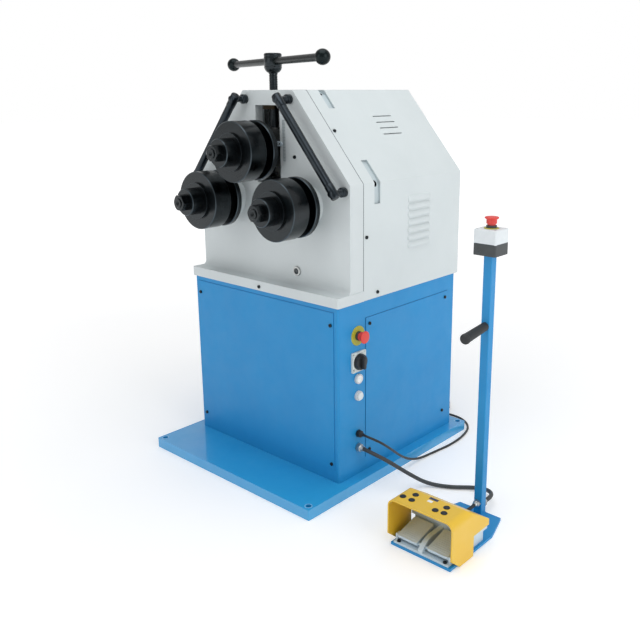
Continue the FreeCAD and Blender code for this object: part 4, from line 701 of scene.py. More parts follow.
screws = stamped("socket_screws", screw_marks,
                 item_of("screw_head", turned(SCREW_PROFILE, 24, hexagon)), black_oxide,
                 replaces=("panel_screws",))
print("screws:", len(screw_marks), "faces:", len(screws.data.polygons))

# %% [markdown]
# Each anchor hole in the base plate is punched, and the paler ring round it is a painted highlight
# on the rim's edge. A turned ring with a rounded top stands for that rim.

# %% Anchor rims
BASE_TOP = 34
rim_item = item_of("rim", turned([(9.2, 0), (9.3, 0.5), (10.4, 0.8), (11.6, 0.5), (11.9, 0)],
                                 32, closed=True))
# A paler blue on each rim: a painted highlight on the edge.
rim_highlight_blue = painted("powder_coat_blue_rim_highlight", "#6FB2E2", "#93C7EA", 3.0, 0.05, 0.4)
anchor_rims = stamped("anchor_rims",
                      [((x, y, BASE_TOP), UP) for x in (-352, 352) for y in (-395, 395)],
                      rim_item, rim_highlight_blue)
print("anchor rims:", len(anchor_rims.data.polygons), "faces")

# %% [markdown]
# ## Louvres
# The louvres are pressed out of the cover's side: a smooth blister that rises toward its mouth
# and fades into the sheet at both ends. The CAD draws each as a wedge, so a rounded blister is
# fitted over the wedge, down past the slit that it hides, and is hollow under its lip. The whole
# row comes from the row tree.

# %% Louvre hoods
HOOD_START, HOOD_LONG, HOOD_END, HOOD_RISE, HOOD_SKIN = 98.0, 102.0, 9.0, 5.6, 0.25
HOOD_ALONG = (-9.0, -8.0, -6.0, -3.0, 0.0, 8.0, 51.0, 94.0, 102.0, 105.0, 108.0, 110.0, 111.0)
MOUTH_DROP, LOUVRES, LOUVRE_TOP, LOUVRE_PITCH = 7.3, 7, 888, 24.6


def blister(side):
    """One louvre hood on the right (1) or left (-1) side, its mouth a little below height zero."""
    rows = []
    for along in HOOD_ALONG:
        past = max(0.0, -along, along - HOOD_LONG) / HOOD_END
        swell = math.sqrt(max(0.0, 1 - past * past))
        row = []
        for part in (i / 8 for i in range(9)):
            rise = (HOOD_SKIN + HOOD_RISE * math.sin(part * math.pi / 2) ** 0.9) * swell
            row.append((rise, (1 - part) * (7.0 + 11.6 * swell) - MOUTH_DROP))
        lip = HOOD_SKIN + HOOD_RISE * swell
        row += [(lip * 0.76, -MOUTH_DROP), (lip * 0.55, -4.6), (-0.4, -2.7), (-0.4, row[0][1])]
        rows.append([(side * (COVER_SIDE + reach), HOOD_START + along, z) for reach, z in row])
    return loft(rows)


for side, hand in ((1, "right"), (-1, "left")):
    louvres = row_of("louvres_" + hand, item_of("louvre", blister(side), 50), LOUVRES,
                     (0, 0, LOUVRE_TOP), (0, 0, -LOUVRE_PITCH), grey_sheet, "root")
print("louvres:", LOUVRES, "a side,", len(louvres.data.polygons), "faces")

# %% [markdown]
# ## Joint line between casting and cover
# The sheet cover butts against the casting, and the joint's shadow is painted on a dark strip. It
# shows as a thin line all round the head. An outline with rounded corners is swept along Y for its
# width.

# %% Joint strip
SHOULDER, RIDGE_TOP, RIDGE_HALF, COVER_FOOT, BEND_R = 954.0, 1222.0, 111.0, 631.5, 5.6
HEAD_CORNERS = [(COVER_SIDE, COVER_FOOT), (COVER_SIDE, SHOULDER), (RIDGE_HALF, RIDGE_TOP),
                (-RIDGE_HALF, RIDGE_TOP), (-COVER_SIDE, SHOULDER), (-COVER_SIDE, COVER_FOOT)]
STRIP_SECTION = ((-0.8, -128.9), (0.25, -128.9), (0.35, -128.4), (0.35, -127.6), (0.25, -127.1),
                 (-0.8, -127.1))


def rounded_path(corners, radius, steps=5):
    """Open path through corners in the XZ plane with an arc of that radius at each inner one."""
    found = [corners[0]]
    for a, b, c in zip(corners, corners[1:], corners[2:]):
        into, away = (a - b).normalized(), (c - b).normalized()
        half = into.angle(away) / 2
        centre = b + (into + away).normalized() * radius / math.sin(half)
        start = b + into * radius / math.tan(half)
        end = b + away * radius / math.tan(half)
        for i in range(steps + 1):
            spoke = (start - centre).lerp(end - centre, i / steps).normalized()
            found.append(centre + spoke * radius)
    return found + [corners[-1]]


outside = rounded_path([Vector(c) for c in HEAD_CORNERS], BEND_R)
rings = []
for before, place, after in zip([outside[0], *outside], outside, [*outside[1:], outside[-1]]):
    run = (after - before).normalized()
    rings.append([(place.x + run.y * d, y, place.y - run.x * d) for d, y in STRIP_SECTION])
# The strip's dark colour is painted shadow of the joint.
piece("head_joint_strip", loft(rings), gap_shadow, "root")
print("joint strip points:", len(rings))

# %% [markdown]
# The pale rear plate stands inside the cover and has a folded rim. The rim is drawn along the
# plate's own outline with its cut corners, as one flat length between each two corners.

# %% Rear plate rim
RIM_LINE = [(326, 700), (326, 936.6), (317.6, 959.5), (113.9, 1200.1), (92.5, 1210), (-92.5, 1210),
            (-113.9, 1200.1), (-317.6, 959.5), (-326, 936.6), (-326, 700)]
RIM_NEAR, RIM_FAR, RIM_THICK, RIM_MIDDLE = -47.0, -26.0, 3, 880
rim_rings = []
for x, z in RIM_LINE:
    inward = Vector((-x, RIM_MIDDLE - z)).normalized() * RIM_THICK
    rim_rings.append([(x, RIM_NEAR, z), (x, RIM_FAR, z), (x + inward.x, RIM_FAR, z + inward.y),
                      (x + inward.x, RIM_NEAR, z + inward.y)])
piece("rear_plate_rim", loft(rim_rings), inner_coat, "root", smooth=20)
print("rear rim corners:", len(RIM_LINE))

# %% [markdown]
# A shallow channel of pale sheet stands off the rear plate and closes the lifting slots from
# inside;
# its grey is the inside primer darkened, painted shade of the slot. Over each lifting eye it has a
# round opening, and a black liner, painted shade, leads from there down the eye's socket.

# %% Slot channel lines
EYE_Y, FLOOR_HALF_Y, WALL_HALF_Y = -65.0, 15.0, 17.0
CHANNEL_SEAT, CHANNEL_FLOOR, CHANNEL_EDGE = 3.0, 5.0, 8.6


def stood_off(reach):
    """The rear plate's line moved outward by reach, its corners mitred."""
    found = []
    for i, point in enumerate(RIM_LINE):
        runs = [(Vector(RIM_LINE[k + 1]) - Vector(RIM_LINE[k])).normalized()
                for k in (i - 1, i) if 0 <= k < len(RIM_LINE) - 1]
        outs = [Vector((run.y, -run.x)) for run in runs]
        mitre = sum(outs, Vector((0.0, 0.0))).normalized()
        found.append(Vector(point) + mitre * reach / mitre.dot(outs[0]))
    return found


seat_line, floor_line, edge_line = map(stood_off, (CHANNEL_SEAT, CHANNEL_FLOOR, CHANNEL_EDGE))
print("channel lines:", [[round(v, 1) for v in line[1]] for line in (seat_line, edge_line)])

# %% Slot channel
# The eye liners are black as painted shade down each socket.
EYE_OPENING, LINER_R, LINER_END = 10.0, 9.9, -34.0
WALLS = ((-WALL_HALF_Y, -FLOOR_HALF_Y), (FLOOR_HALF_Y, WALL_HALF_Y))


def channel_slab(k, near, far, high):
    """Length k of the channel between two distances from the eyes' plane, up to a line."""
    return loft([[(line[j].x, EYE_Y + y, line[j].y) for line, y in
                  ((seat_line, near), (high, near), (high, far), (seat_line, far))]
                 for j in (k, k + 1)])


channel_parts, shade_liners = [], []
for k in range(len(RIM_LINE) - 1):
    if k % 2 == 0:
        channel_parts += [channel_slab(k, near, far, edge_line) for near, far in WALLS]
        channel_parts.append(channel_slab(k, -FLOOR_HALF_Y, FLOOR_HALF_Y, floor_line))
        continue
    before, a, b, after = edge_line[k - 1:k + 3]
    along = (a - before).normalized()
    across = Vector((after.y - b.y, b.x - after.x))
    corner = a + along * (b - a).dot(across) / along.dot(across)
    flange = (seat_line[k], a, corner, b, seat_line[k + 1])
    channel_parts += [loft([[(p.x, EYE_Y + y, p.y) for p in flange] for y in wall])
                      for wall in WALLS]
    run, centre = floor_line[k + 1] - floor_line[k], (floor_line[k + 1] + floor_line[k]) / 2
    seat, outward, half_run = (centre.x, EYE_Y, centre.y), (run.y, 0, -run.x), run.length / 2
    opened = turned([(EYE_OPENING, 0), (EYE_OPENING, -2), (1, -2, True), (1, 0, True)], 96,
                    lambda a: min(FLOOR_HALF_Y / max(abs(math.cos(a)), TINY),
                                  half_run / max(abs(math.sin(a)), TINY)), closed=True)
    shade_liner = turned([(LINER_R, -0.3), (LINER_R, LINER_END), (LINER_R - 0.7, LINER_END),
                   (LINER_R - 0.7, -0.3)], closed=True)
    channel_parts.append(moved(opened, seat, outward))
    shade_liners.append(moved(shade_liner, seat, outward))
# The channel's grey is the inside primer darkened, painted shade of the slot.
shaded_channel_coat = painted("primer_slot_channel_painted_shade", "#B4C1C6", "#BECACE", 4.0, 0.05, 0.6, 0.0)
piece("lifting_slot_channel", joined(*channel_parts), shaded_channel_coat, "root",
      smooth=20)
# Black liners down the eye sockets are painted shade.
piece("lifting_eye_bushes", joined(*shade_liners), black_oxide, "root")
print("slot channel:", len(channel_parts), "parts,", len(shade_liners), "eyes")

# %% [markdown]
# The front, side and rear panels are screwed over openings in the cabinet. The shadow in the gap
# round each is painted on a thin dark band that looks out all round; four thin bars give that band
# at each panel. The rear panel is a bare plate, so it is made here as one thin block with softened
# edges.

# %% Panel gap shades
BAND_GAP, BAND_WIDE, BAND_PROUD = 0.05, 1.1, 0.5
SIDE_FACE = 334


def panel_gap_shade(low, high, flat, out):
    """Four bars round a panel in the plane of the two long axes; flat is the axis across it."""
    bars = []
    first, second = [axis for axis in range(3) if axis != flat]
    for along, across in ((first, second), (second, first)):
        for edge, step in ((low[across], -1), (high[across], 1)):
            a, b = [0.0] * 3, [0.0] * 3
            a[flat], b[flat] = sorted((low[flat], low[flat] + out))
            a[along], b[along] = low[along] - BAND_WIDE, high[along] + BAND_WIDE
            a[across], b[across] = sorted((edge + step * BAND_GAP, edge + step * BAND_WIDE))
            bars.append(block(a, b))
    return joined(*bars)


piece("rear_panel", block((-300, 370.6, 76), (300, PANEL_BACK, 560)), blue_coat, "root",
      bevel=0.6)
# The bars' colours are painted shadow in the gap round each panel.
GAP_SHADE_BANDS = (("rear", (-300, 371, 76), (300, 371, 560), 1, BAND_PROUD, blue_gap_shade),
        ("front", (-317, -240, 76), (317, -240, 584), 1, -BAND_PROUD, blue_gap_shade),
        ("side", (SIDE_FACE, -113.5, 80), (SIDE_FACE, 328, 544), 0, BAND_PROUD, dark_gap_shade))
for where, low, high, flat, out, finish in GAP_SHADE_BANDS:
    lip = piece(where + "_panel_lip", panel_gap_shade(low, high, flat, out), finish, "root")
print("panel lips:", len(GAP_SHADE_BANDS), "of", len(lip.data.polygons), "faces")

# %% [markdown]
# ## Cable glands
# Each cord leaves through a moulded or plated gland: a hexagon seat against the sheet, a dome nut
# with grip flutes and a tapered sleeve that lets the cord bend gently. One profile covers all
# four, because the section of a turned ring can be a hexagon or a fluted round.

# %% Glands
CONTROL_Y, MAINS_Z, HOSE_Z = -150, 174, 127
POST_X, POST_Y = 728, -57


def gland(reach, radius, hold):
    """Gland of that length and seat radius round a cord, built along +Z with a closed tail."""
    return joined(
        turned([(hold, 0), (radius * 0.866, 0, 1), (radius * 0.866, reach * 0.24, 1),
                (radius * 0.80, reach * 0.28), (hold, reach * 0.28)], 48, hexagon),
        turned([(hold, reach * 0.29), (radius * 0.95, reach * 0.29, 1),
                (radius * 0.95, reach * 0.54, 1), (radius * 0.86, reach * 0.60),
                (hold + 2.6, reach * 0.66), (hold + 2.4, reach * 0.72), (hold + 1.6, reach * 0.8),
                (hold + 1.8, reach * 0.82), (hold + 1.3, reach * 0.9), (hold + 1.5, reach * 0.92),
                (hold + 1.0, reach), (hold, reach)], 48, fluted(12, 0.07)))


piece("mains_gland_nut", moved(gland(24, 12, 4.05), (SIDE_FACE, CONTROL_Y, MAINS_Z), RIGHT),
      black_nylon, "root", replaces=("mains_gland",), smooth=32)
piece("hose_gland_nuts",
      joined(moved(gland(24, 13.5, 6.55), (SIDE_FACE, CONTROL_Y, HOSE_Z), RIGHT),
             moved(gland(17, 13.0, 6.55), (POST_X, -44, 32), BACK),
             moved(gland(20, 11.0, 5.05), (POST_X, -70, 45), FRONT)),
      zinc, "root", replaces=("hose_glands",), smooth=32)
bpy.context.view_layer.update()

# %% [markdown]
# ## Plug and coil ties
# The lead ends in a three-phase plug: a shroud round its pins, a ribbed grip and a rubber boot that
# tapers to the flex. It is turned in one profile, and its ribs come from steps in that profile.
# Two soft ties hold the coil's turns together.

# %% Mains plug
PLUG_AT = (-14.5, 464, 23.3)
PIN_CIRCLE, PLUG_LONG = 8.5, 148.5
shroud = [(0, 26), (15, 26), (15, 2), (17, 0), (19.6, 0), (20, 1.5), (20, 34), (21.5, 38),
          (22.9, 40)]
for at in range(43, 73, 5):
    shroud += [(22.9, at), (21.6, at + 0.8), (21.6, at + 2.2), (22.9, at + 3)]
shroud += [(22.9, 78), (22.0, 88), (17, 100), (12.4, 114)]
for rib in range(5):
    at = 115 + 6 * rib
    shroud += [(12.0 - 1.35 * rib, at), (10.6 - 1.2 * rib, at + 1.0), (10.4 - 1.2 * rib, at + 3.2),
               (11.6 - 1.35 * rib, at + 4.2)]
shroud += [(5.3, 148.2), (4.1, PLUG_LONG), (0, PLUG_LONG)]
pin = turned([(0, 25), (2.6, 25), (2.6, 5), (1.8, 4), (0, 4)], 16)
contacts = [moved(pin, (PLUG_AT[0], PLUG_AT[1] + PIN_CIRCLE * math.cos(a),
                        PLUG_AT[2] + PIN_CIRCLE * math.sin(a)), RIGHT)
            for a in (math.radians(90 * i + 45) for i in range(4))]
plug = piece("mains_plug_body", moved(turned(shroud, 48), PLUG_AT, RIGHT), black_nylon, "root",
             replaces=("mains_plug",))
pins = piece("mains_plug_pins", joined(*contacts), zinc, "root")
print("plug length:", PLUG_LONG, "mm, pins:", len(contacts))

# %% Coil ties
TIE_LOOP = [(33.9, 0.6), (35.6, 0.15), (57.0, 0.15), (58.9, 0.7), (59.4, 3.0), (59.4, 22.0),
            (58.0, 25.0), (55.0, 25.7), (46.0, 25.7), (37.5, 17.6), (33.6, 14.0), (33.2, 3.0)]
TIE_MIDDLE, TIE_THICK, TIE_HALF, OVER_FLOOR = (46.3, 12.5), 0.7, 3.5, 0.15


def tie(angle):
    """Flat strap round the coil's section at that angle, closed on itself."""
    out = Vector((math.cos(angle), math.sin(angle), 0))
    side = Vector((-out.y, out.x, 0))
    rings = []
    for reach, height in [*TIE_LOOP, TIE_LOOP[0]]:
        inward = Vector((TIE_MIDDLE[0] - reach, TIE_MIDDLE[1] - height)).normalized() * TIE_THICK
        low = max(height, OVER_FLOOR)
        inner = (reach + inward.x, max(low + inward.y, 2 * OVER_FLOOR))
        corners = [(reach, low, -TIE_HALF), (reach, low, TIE_HALF), (*inner, TIE_HALF),
                   (*inner, -TIE_HALF)]
        rings.append([Vector((*COIL, 0)) + out * r + side * s + Vector((0, 0, z))
                      for r, z, s in corners])
    points, faces = loft(rings)
    return points, faces[2:]


ties = piece("coil_ties", joined(tie(math.radians(35)), tie(math.radians(160))), grip_rubber,
             "root")
print("ties:", len(ties.data.polygons), "faces")

# %% [markdown]
# ## Switch gear
# The isolator has a black rotary handle on a pale plate. The handle's skirt is fluted for grip and
# a raised grip bar with a white line points at its state. The plate's detail, a raised ring, four
# countersunk screws and the marks 0 and 1, is laid on the CAD plate, whose shape is right.

# %% Isolator handle


def rounded_bar(half_long, half_wide, levels, count=8):
    """Grip bar with round ends: levels are (height, share of its plan size)."""
    plan = []
    for end in (1, -1):
        for i in range(count + 1):
            angle = math.pi * (i / count - 0.5) + (0 if end == 1 else math.pi)
            plan.append((end * (half_long - half_wide) + half_wide * math.cos(angle),
                         half_wide * math.sin(angle)))
    return loft([[(x * share, y * share, height) for x, y in plan] for height, share in levels])


PLATE_FACE, ISOLATOR_Z = 340, 414
KNOB_AT = (PLATE_FACE + 0.3, CONTROL_Y, ISOLATOR_Z)
knob_skirt = turned([(0, 0), (25.6, 0), (26, 0.6, 1), (24.4, 11.6, 1), (23.4, 12.8), (21.5, 13),
                     (0, 13)], 96, fluted(24, 0.035))
knob_bar = rounded_bar(21.8, 6.0, [(12.5, 1.03), (16, 1.0), (23.4, 0.93), (24.6, 0.88),
                                   (25.0, 0.8)])
knob_spindle = turned([(0, -18), (6, -18), (6, 0), (0, 0)], 24)
knob = piece("isolator_handle",
             joined(moved(knob_skirt, KNOB_AT, RIGHT),
                    moved(knob_bar, KNOB_AT, RIGHT, math.radians(90)),
                    moved(knob_spindle, KNOB_AT, RIGHT)),
             black_nylon, "switch_knob", replaces=("switch_knob",), smooth=30)
piece("isolator_pointer", block((364.9, -151.1, 422), (365.28, -148.9, 431)), rating_white,
      "switch_knob", bevel=0.1)
reach = [max(abs(v.co[axis] / MM - KNOB_AT[axis]) for v in knob.data.vertices) for axis in (2, 1)]
print("handle reaches (up, across):", [round(r, 1) for r in reach], "mm")

# %% Isolator plate trim
CORNER = 27
plate_ring = turned([(27.4, 0), (27.8, 0.7), (30.0, 0.7), (30.5, 0)], 64, closed=True)
zero_ring = turned([(1.9, 0), (1.9, 0.25), (3.6, 0.25), (3.6, 0)], 24, closed=True)
piece("isolator_plate_ring", moved(plate_ring, (PLATE_FACE, CONTROL_Y, ISOLATOR_Z), RIGHT),
      white_abs, "root")
piece("isolator_plate_marks",
      joined(moved(zero_ring, (PLATE_FACE, -175.6, 391), RIGHT),
             block((PLATE_FACE, -151.3, 440.9), (PLATE_FACE + 0.25, -148.7, 445.4)),
             block((PLATE_FACE, -157.5, 442.2), (PLATE_FACE + 0.25, -153.0, 444.2))),
      mark_ink, "root")
corner_item = item_of("corner_screw", joined(
    turned([(0, 0.3), (2.0, 0.45), (2.9, 0.25), (3.1, 0)], 20),
    block((-2.2, -0.35, 0.38), (2.2, 0.35, 0.5)), block((-0.35, -2.2, 0.38), (0.35, 2.2, 0.5))))
corner_screws = stamped("isolator_plate_screws",
                        [((PLATE_FACE, CONTROL_Y + y, ISOLATOR_Z + z), RIGHT)
                         for y in (-CORNER, CORNER) for z in (-CORNER, CORNER)],
                        corner_item, zinc)
print("plate screws:", len(corner_screws.data.polygons), "faces")

# %% [markdown]
# The lamp and the push button sit in pale rings; the collars under the stop buttons are dark. One
# CAD node holds all four rings, so it keeps the dark finish and a pale ring slips over each of the
# two outer ones.

# %% Pale rings
LAMP_Z, BUTTON_Z = 357, 301
pale_ring = turned([(15.5, 0), (15.9, 0), (15.9, 7.0), (15.2, 8.2), (13.2, 8.4), (12.9, 8.0),
                    (15.3, 7.2)], 48, closed=True)
pale_rings = piece("lamp_and_button_rings",
                   joined(*(moved(pale_ring, (SIDE_FACE, CONTROL_Y, z), RIGHT)
                            for z in (LAMP_Z, BUTTON_Z))), clear_cap, "root")
print("pale rings:", len(pale_rings.data.polygons), "faces")

# %% [markdown]
# The lamp's lens is moulded in rings that spread its light, so its dome is stepped. The push
# button keeps its CAD cap.

# %% Lamp lens
LENS_HIGH, LENS_STEPS = 12.0, 5
lens = [(0, 0), (12.3, 0), (12.3, 8.0), (11.8, 8.7)]
for step in range(LENS_STEPS):
    radius = 11.2 - 2.1 * step
    lens += [(radius, 9.5 + 0.50 * step), (radius - 0.5, 9.1 + 0.52 * step)]
lens += [(1.2, 11.9), (0, LENS_HIGH)]
piece("pilot_lamp_lens", moved(turned(lens, 48), (SIDE_FACE, CONTROL_Y, LAMP_Z), RIGHT), milky_pc,
      "root", replaces=("pilot_lamp",), smooth=25)
print("lens height:", LENS_HIGH, "mm in", LENS_STEPS, "steps")

# %% [markdown]
# ## Pressure screw
# The top roll is fed by a screw with a 5 mm lead. Its thread is a helix, which a Geometry Nodes
# spiral draws exactly: a curve of 33 turns with a small square profile on edge, so that each turn
# shows a sharp crest. The hub above is turned with a waist, and the cross bar has ball ends with
# necks, as hand-turned bars have.

# %% Feed screw
thread_tree, given, last = new_tree("screw_thread", ("Pitch", "Float"), ("Turns", "Float"),
                                    ("Radius", "Float"), ("Crest", "Float"), ("Low End", "Vector"),
                                    ("Finish", "Material"))
height = add(thread_tree, "ShaderNodeMath", {0: given["Pitch"], 1: given["Turns"]},
             operation="MULTIPLY")
helix = add(thread_tree, "GeometryNodeCurveSpiral",
            {"Resolution": 28, "Rotations": given["Turns"], "Start Radius": given["Radius"],
             "End Radius": given["Radius"], "Height": height.outputs["Value"]})
level = add(thread_tree, "GeometryNodeSetCurveNormal", {"Curve": helix.outputs["Curve"]})
level.mode = "Z_UP"
crest = add(thread_tree, "GeometryNodeCurvePrimitiveCircle", {"Resolution": 4,
                                                              "Radius": given["Crest"]})
ridge = add(thread_tree, "GeometryNodeCurveToMesh",
            {"Curve": level.outputs["Curve"], "Profile Curve": crest.outputs["Curve"],
             "Fill Caps": True})
raised = add(thread_tree, "GeometryNodeTransform", {"Geometry": ridge.outputs["Mesh"],
                                                    "Translation": given["Low End"]})
ended(thread_tree, raised.outputs["Geometry"], given["Finish"], last)
SCREW_Y, SCREW_LEAD, THREAD_R, CREST, THREAD_LOW = -158, 5, 12.0, 1.72, 1103.5
thread = grown("feed_screw_thread", [((0, 0, 0), UP)], thread_tree,
               {"Pitch": SCREW_LEAD * MM, "Turns": 33.0, "Radius": THREAD_R * MM,
                "Crest": CREST * MM, "Low End": (0.0, SCREW_Y * MM, THREAD_LOW * MM),
                "Finish": black_oxide}, "feed_screw")
hub = [(0, 1080.7), (10, 1080.7), (10, 1094.7), (18, 1094.7), (18, 1102.7), (12.2, 1102.7),
       (12.2, 1269), (13.7, 1270), (13.7, 1272), (20, 1275.5), (25, 1281.5), (27.2, 1288),
       (27.5, 1290), (26.8, 1291), (26.8, 1293), (27.5, 1294), (27.5, 1319), (26.8, 1320),
       (26.8, 1322), (27.5, 1323), (27.3, 1327), (25.5, 1330), (22, 1331), (6, 1331),
       (4.5, 1329.5), (0, 1329)]
piece("feed_screw_core", moved(turned(hub, 64), (0, SCREW_Y, 0)), black_oxide, "feed_screw",
      replaces=("feed_screw",))
print("thread faces:", len(thread.data.polygons))

# %% Cross bar
BAR_TURN, BAR_Z = math.radians(-19.4), 1307
BALL_R, BALL_AT = 21.75, 330.25
ball = [(BALL_R * math.sin(a), BALL_AT + BALL_R * math.cos(a))
        for a in (math.radians(7.2 * i) for i in range(1, 21))]
half_bar = [(0, BALL_AT + BALL_R), *ball, (12.4, 311.4), (13.6, 310.4), (13.6, 307.0),
            (12.4, 306.0), (11, 305.0), (11, 30), (12.8, 29.0), (12.8, 27.2)]
bar_profile = half_bar + [(r, -h) for r, h in reversed(half_bar)]
cross_bar = piece("cross_bar", moved(turned(bar_profile, 40), (0, SCREW_Y, BAR_Z),
                                     (math.cos(BAR_TURN), math.sin(BAR_TURN), 0)),
                  black_bar, "feed_screw", replaces=("t_bar",))
print("cross bar box:", [[round(v / MM, 1) for v in corner] for corner in
                         (cross_bar.bound_box[0], cross_bar.bound_box[6])])

# %% [markdown]
# ## Grab handles
# Each handle is a lacquered tube pushed into an end fitting at both ends; a fitting has rounded
# rims, and a fine groove shows where the tube goes in. A leg joins each fitting to a round collar
# on the casting, and a flat cap closes it in front. Everything is round, so all of it is turned
# and then pointed along its own line.

# %% Handles
HANDLE_Y, CAP_OUT = -235, 13.4


def grab_handle(side):
    """One handle in its place, on the right (1) or left (-1)."""
    top, low = Vector((side * 99, HANDLE_Y, 1195)), Vector((side * 316, HANDLE_Y, 935))
    run = (low - top).normalized()
    start, length = top - run * 16, (low - top).length + 32
    end = [(0, 0), (11.2, 0), (13.2, 0.8), (14, 2.6), (14, 42.6), (13.6, 44.2), (12.4, 44.9),
           (12.3, 46.0), (13, 46.6)]
    bar = turned(end + [(r, length - h) for r, h in reversed(end)], 40)
    leg = turned([(0, 0), (9, 0), (9, 26), (9.6, 28.5), (11, 30.2), (12.6, 31), (13.9, 31.8),
                  (14.5, 33.2), (14.5, 43.6), (13.8, 44.6), (14.5, 45.4), (14.5, 47), (0, 47)],
                 36)
    cap = turned([(0, 0), (9.8, 0), (9.8, 1.0), (8.8, 1.6), (0, 1.6)], 30)
    shapes = [moved(bar, start, run)]
    for place in (top, low):
        shapes += [moved(leg, place, BACK), moved(cap, place + Vector(FRONT) * CAP_OUT, FRONT)]
    return joined(*shapes)


handles = piece("grab_handle_tubes", joined(grab_handle(1), grab_handle(-1)), black_tube, "root",
                replaces=("grab_handles",))
print("handles:", len(handles.data.polygons), "faces")

# %% [markdown]
# ## Setting scale
# A scale beside the slot shows how far the top roll is set down. Its strokes are engraved in a
# strip of anodised aluminium and inked; here they stand a little proud so that they show. Two rows
# make it: a short stroke every 2 mm and a long one every 10 mm.

# %% Scale strokes
SCALE_LOW, STROKE_X = 1012, 66.5
scale_ink = moulded("engraved_scale_ink", "#55646F", "#60707B", 1.5, 0.5)
piece("scale_strip", block((65.3, CASTING_FACE - 0.07, 1009), (77.8, CASTING_FACE + 0.1, 1135)),
      scale_alloy, "root")
for kind, end_x, proud, half, count, every in (("short", 71.5, 0.2, 0.25, 61, 2),
                                               ("long", 76.5, 0.22, 0.4, 13, 10)):
    stroke = item_of(kind + "_stroke", block((STROKE_X, CASTING_FACE - proud, -half),
                                             (end_x, CASTING_FACE, half)))
    row_of("scale_" + kind + "_strokes", stroke, count, (0, 0, SCALE_LOW), (0, 0, every),
           scale_ink, "root")
    print(kind, "strokes:", count, "over", (count - 1) * every, "mm")

# %% [markdown]
# A small bent pointer is screwed to the slide and reaches over the slot's edge to the scale, so it
# shows the setting as the slide moves.

# %% Scale pointer
blade = [(44, 1069), (60, 1069), (67.5, 1063.2), (67.5, 1060.8), (60, 1055), (44, 1055)]
blade_screw = turned([(0, 0.9), (2.2, 0.9), (2.5, 0.6), (2.5, -0.3), (0, -0.3)], 24)
scale_pointer = piece("scale_pointer",
                      joined(loft([[(x, y, z) for x, z in blade] for y in (-191.2, -188.9)]),
                             block((44, -189.5, 1055), (52.6, -175.8, 1069)),
                             moved(blade_screw, (49, -191.2, 1062), FRONT)),
                      cast_alloy, "carriage", smooth=30, bevel=0.3)
print("scale pointer:", len(scale_pointer.data.polygons), "faces")

# %% [markdown]
# ## Foot switch
# The treadles are cast with raised ribs across them, so that a boot doesn't slip. A rib is one
# rounded bar; the row tree lays eleven of them up the slope of each treadle, and the two results
# ride on their own treadles. Six dark blind plugs close the holes in the hood's roof, and two
# bare foil labels are stuck behind them.

# %% Treadle ribs
SLOPE = math.radians(12.77)
UPHILL = (0.0, math.cos(SLOPE), math.sin(SLOPE))
RISE = (0.0, -math.sin(SLOPE), math.cos(SLOPE))
TREADLE_APART, TOE_Y, TOE_Z, RIBS, RIB_PITCH = 50, -328, 25, 11, 6.8
for side, hand in ((-1, "left"), (1, "right")):
    centre = PEDALS_X + TREADLE_APART * side
    rib = []
    for along in (-28.0, -27.0, 27.0, 28.0):
        share = 1.0 if abs(along) < 27.5 else 0.45
        rib.append([(centre + along, TOE_Y + UPHILL[1] * u + RISE[1] * v,
                     TOE_Z + UPHILL[2] * u + RISE[2] * v)
                    for u, v in ((-1.6 * share, 9.9), (-0.9 * share, 10.0 + 0.7 * share),
                                 (0.9 * share, 10.0 + 0.7 * share), (1.6 * share, 9.9))])
    ribs = row_of("treadle_ribs_" + hand, item_of("rib", loft(rib), 60), RIBS,
                  [-u for u in UPHILL], [RIB_PITCH * u for u in UPHILL], cast_alloy,
                  "pedal_" + hand)
print("treadle ribs:", len(ribs.data.polygons), "faces each")

# %% Hood plugs and labels
HOOD_ROOF = 142
HOOD_PLUGS = ((643, -321), (665, -292), (673, -321), (751, -322), (767, -292), (777, -319))
plug_item = item_of("blind_plug", turned([(0, 1.3), (4.6, 1.3), (5.2, 0.9), (5.6, 1.6), (6.8, 1.5),
                                          (7.5, 0.8), (7.6, 0)], 32), 30)
stamped("hood_blind_plugs", [((x, y, HOOD_ROOF), UP) for x, y in HOOD_PLUGS], plug_item,
        black_nylon, size=1.22)
piece("hood_label_dark", block((703, -284, 141.95), (731, -274, 142.2)), label_foil, "root",
      bevel=0.1)
piece("hood_label_pale", block((707, -299, 141.95), (722, -289, 142.2)), rating_white, "root",
      bevel=0.1)
print("hood plugs:", len(HOOD_PLUGS), "labels: 2")

# %% [markdown]
# ## Switch box on the post
# The box has a pale lid held by four screws, a seal under the lid drawn as a dark line of painted
# shadow, and a moulded knock-out ring on its front.

# %% Box details
SEAL_LINE = ((-35.2, -29), (-35.2, 29), (-30.2, 34.2), (30.2, 34.2), (35.2, 29), (35.2, -29),
             (30.2, -34.2), (-30.2, -34.2))
KNOCK_OUT, LID_TOP = (713, -91, 804), 859
# The seal's dark line is painted shadow of the lid joint.
piece("station_box_seal", loft([[(POST_X + x, POST_Y + y, z) for x, y in SEAL_LINE]
                                for z in (819.3, 820.7)]), gap_shadow, "root")
out_ring = turned([(6.4, 0), (6.6, 0.5), (7.6, 0.5), (7.9, 0)], 32, closed=True)
out_disc = turned([(0, 0.25), (5.2, 0.3), (5.8, 0)], 32)
piece("station_box_knock_out",
      joined(moved(out_ring, KNOCK_OUT, FRONT), moved(out_disc, KNOCK_OUT, FRONT)), dark_abs,
      "root")
lid_item = item_of("lid_screw", joined(
    turned([(0, 0.2), (2.1, 0.35), (2.8, 0.2), (3.0, 0)], 20),
    block((-2.0, -0.35, 0.3), (2.0, 0.35, 0.42)), block((-0.35, -2.0, 0.3), (0.35, 2.0, 0.42))))
lid_screws = stamped("station_lid_screws", [((POST_X + x, POST_Y + y, LID_TOP), UP)
                                            for x in (-28, 28) for y in (-27, 27)],
                     lid_item, zinc)
print("lid screws:", len(lid_screws.data.polygons), "faces")

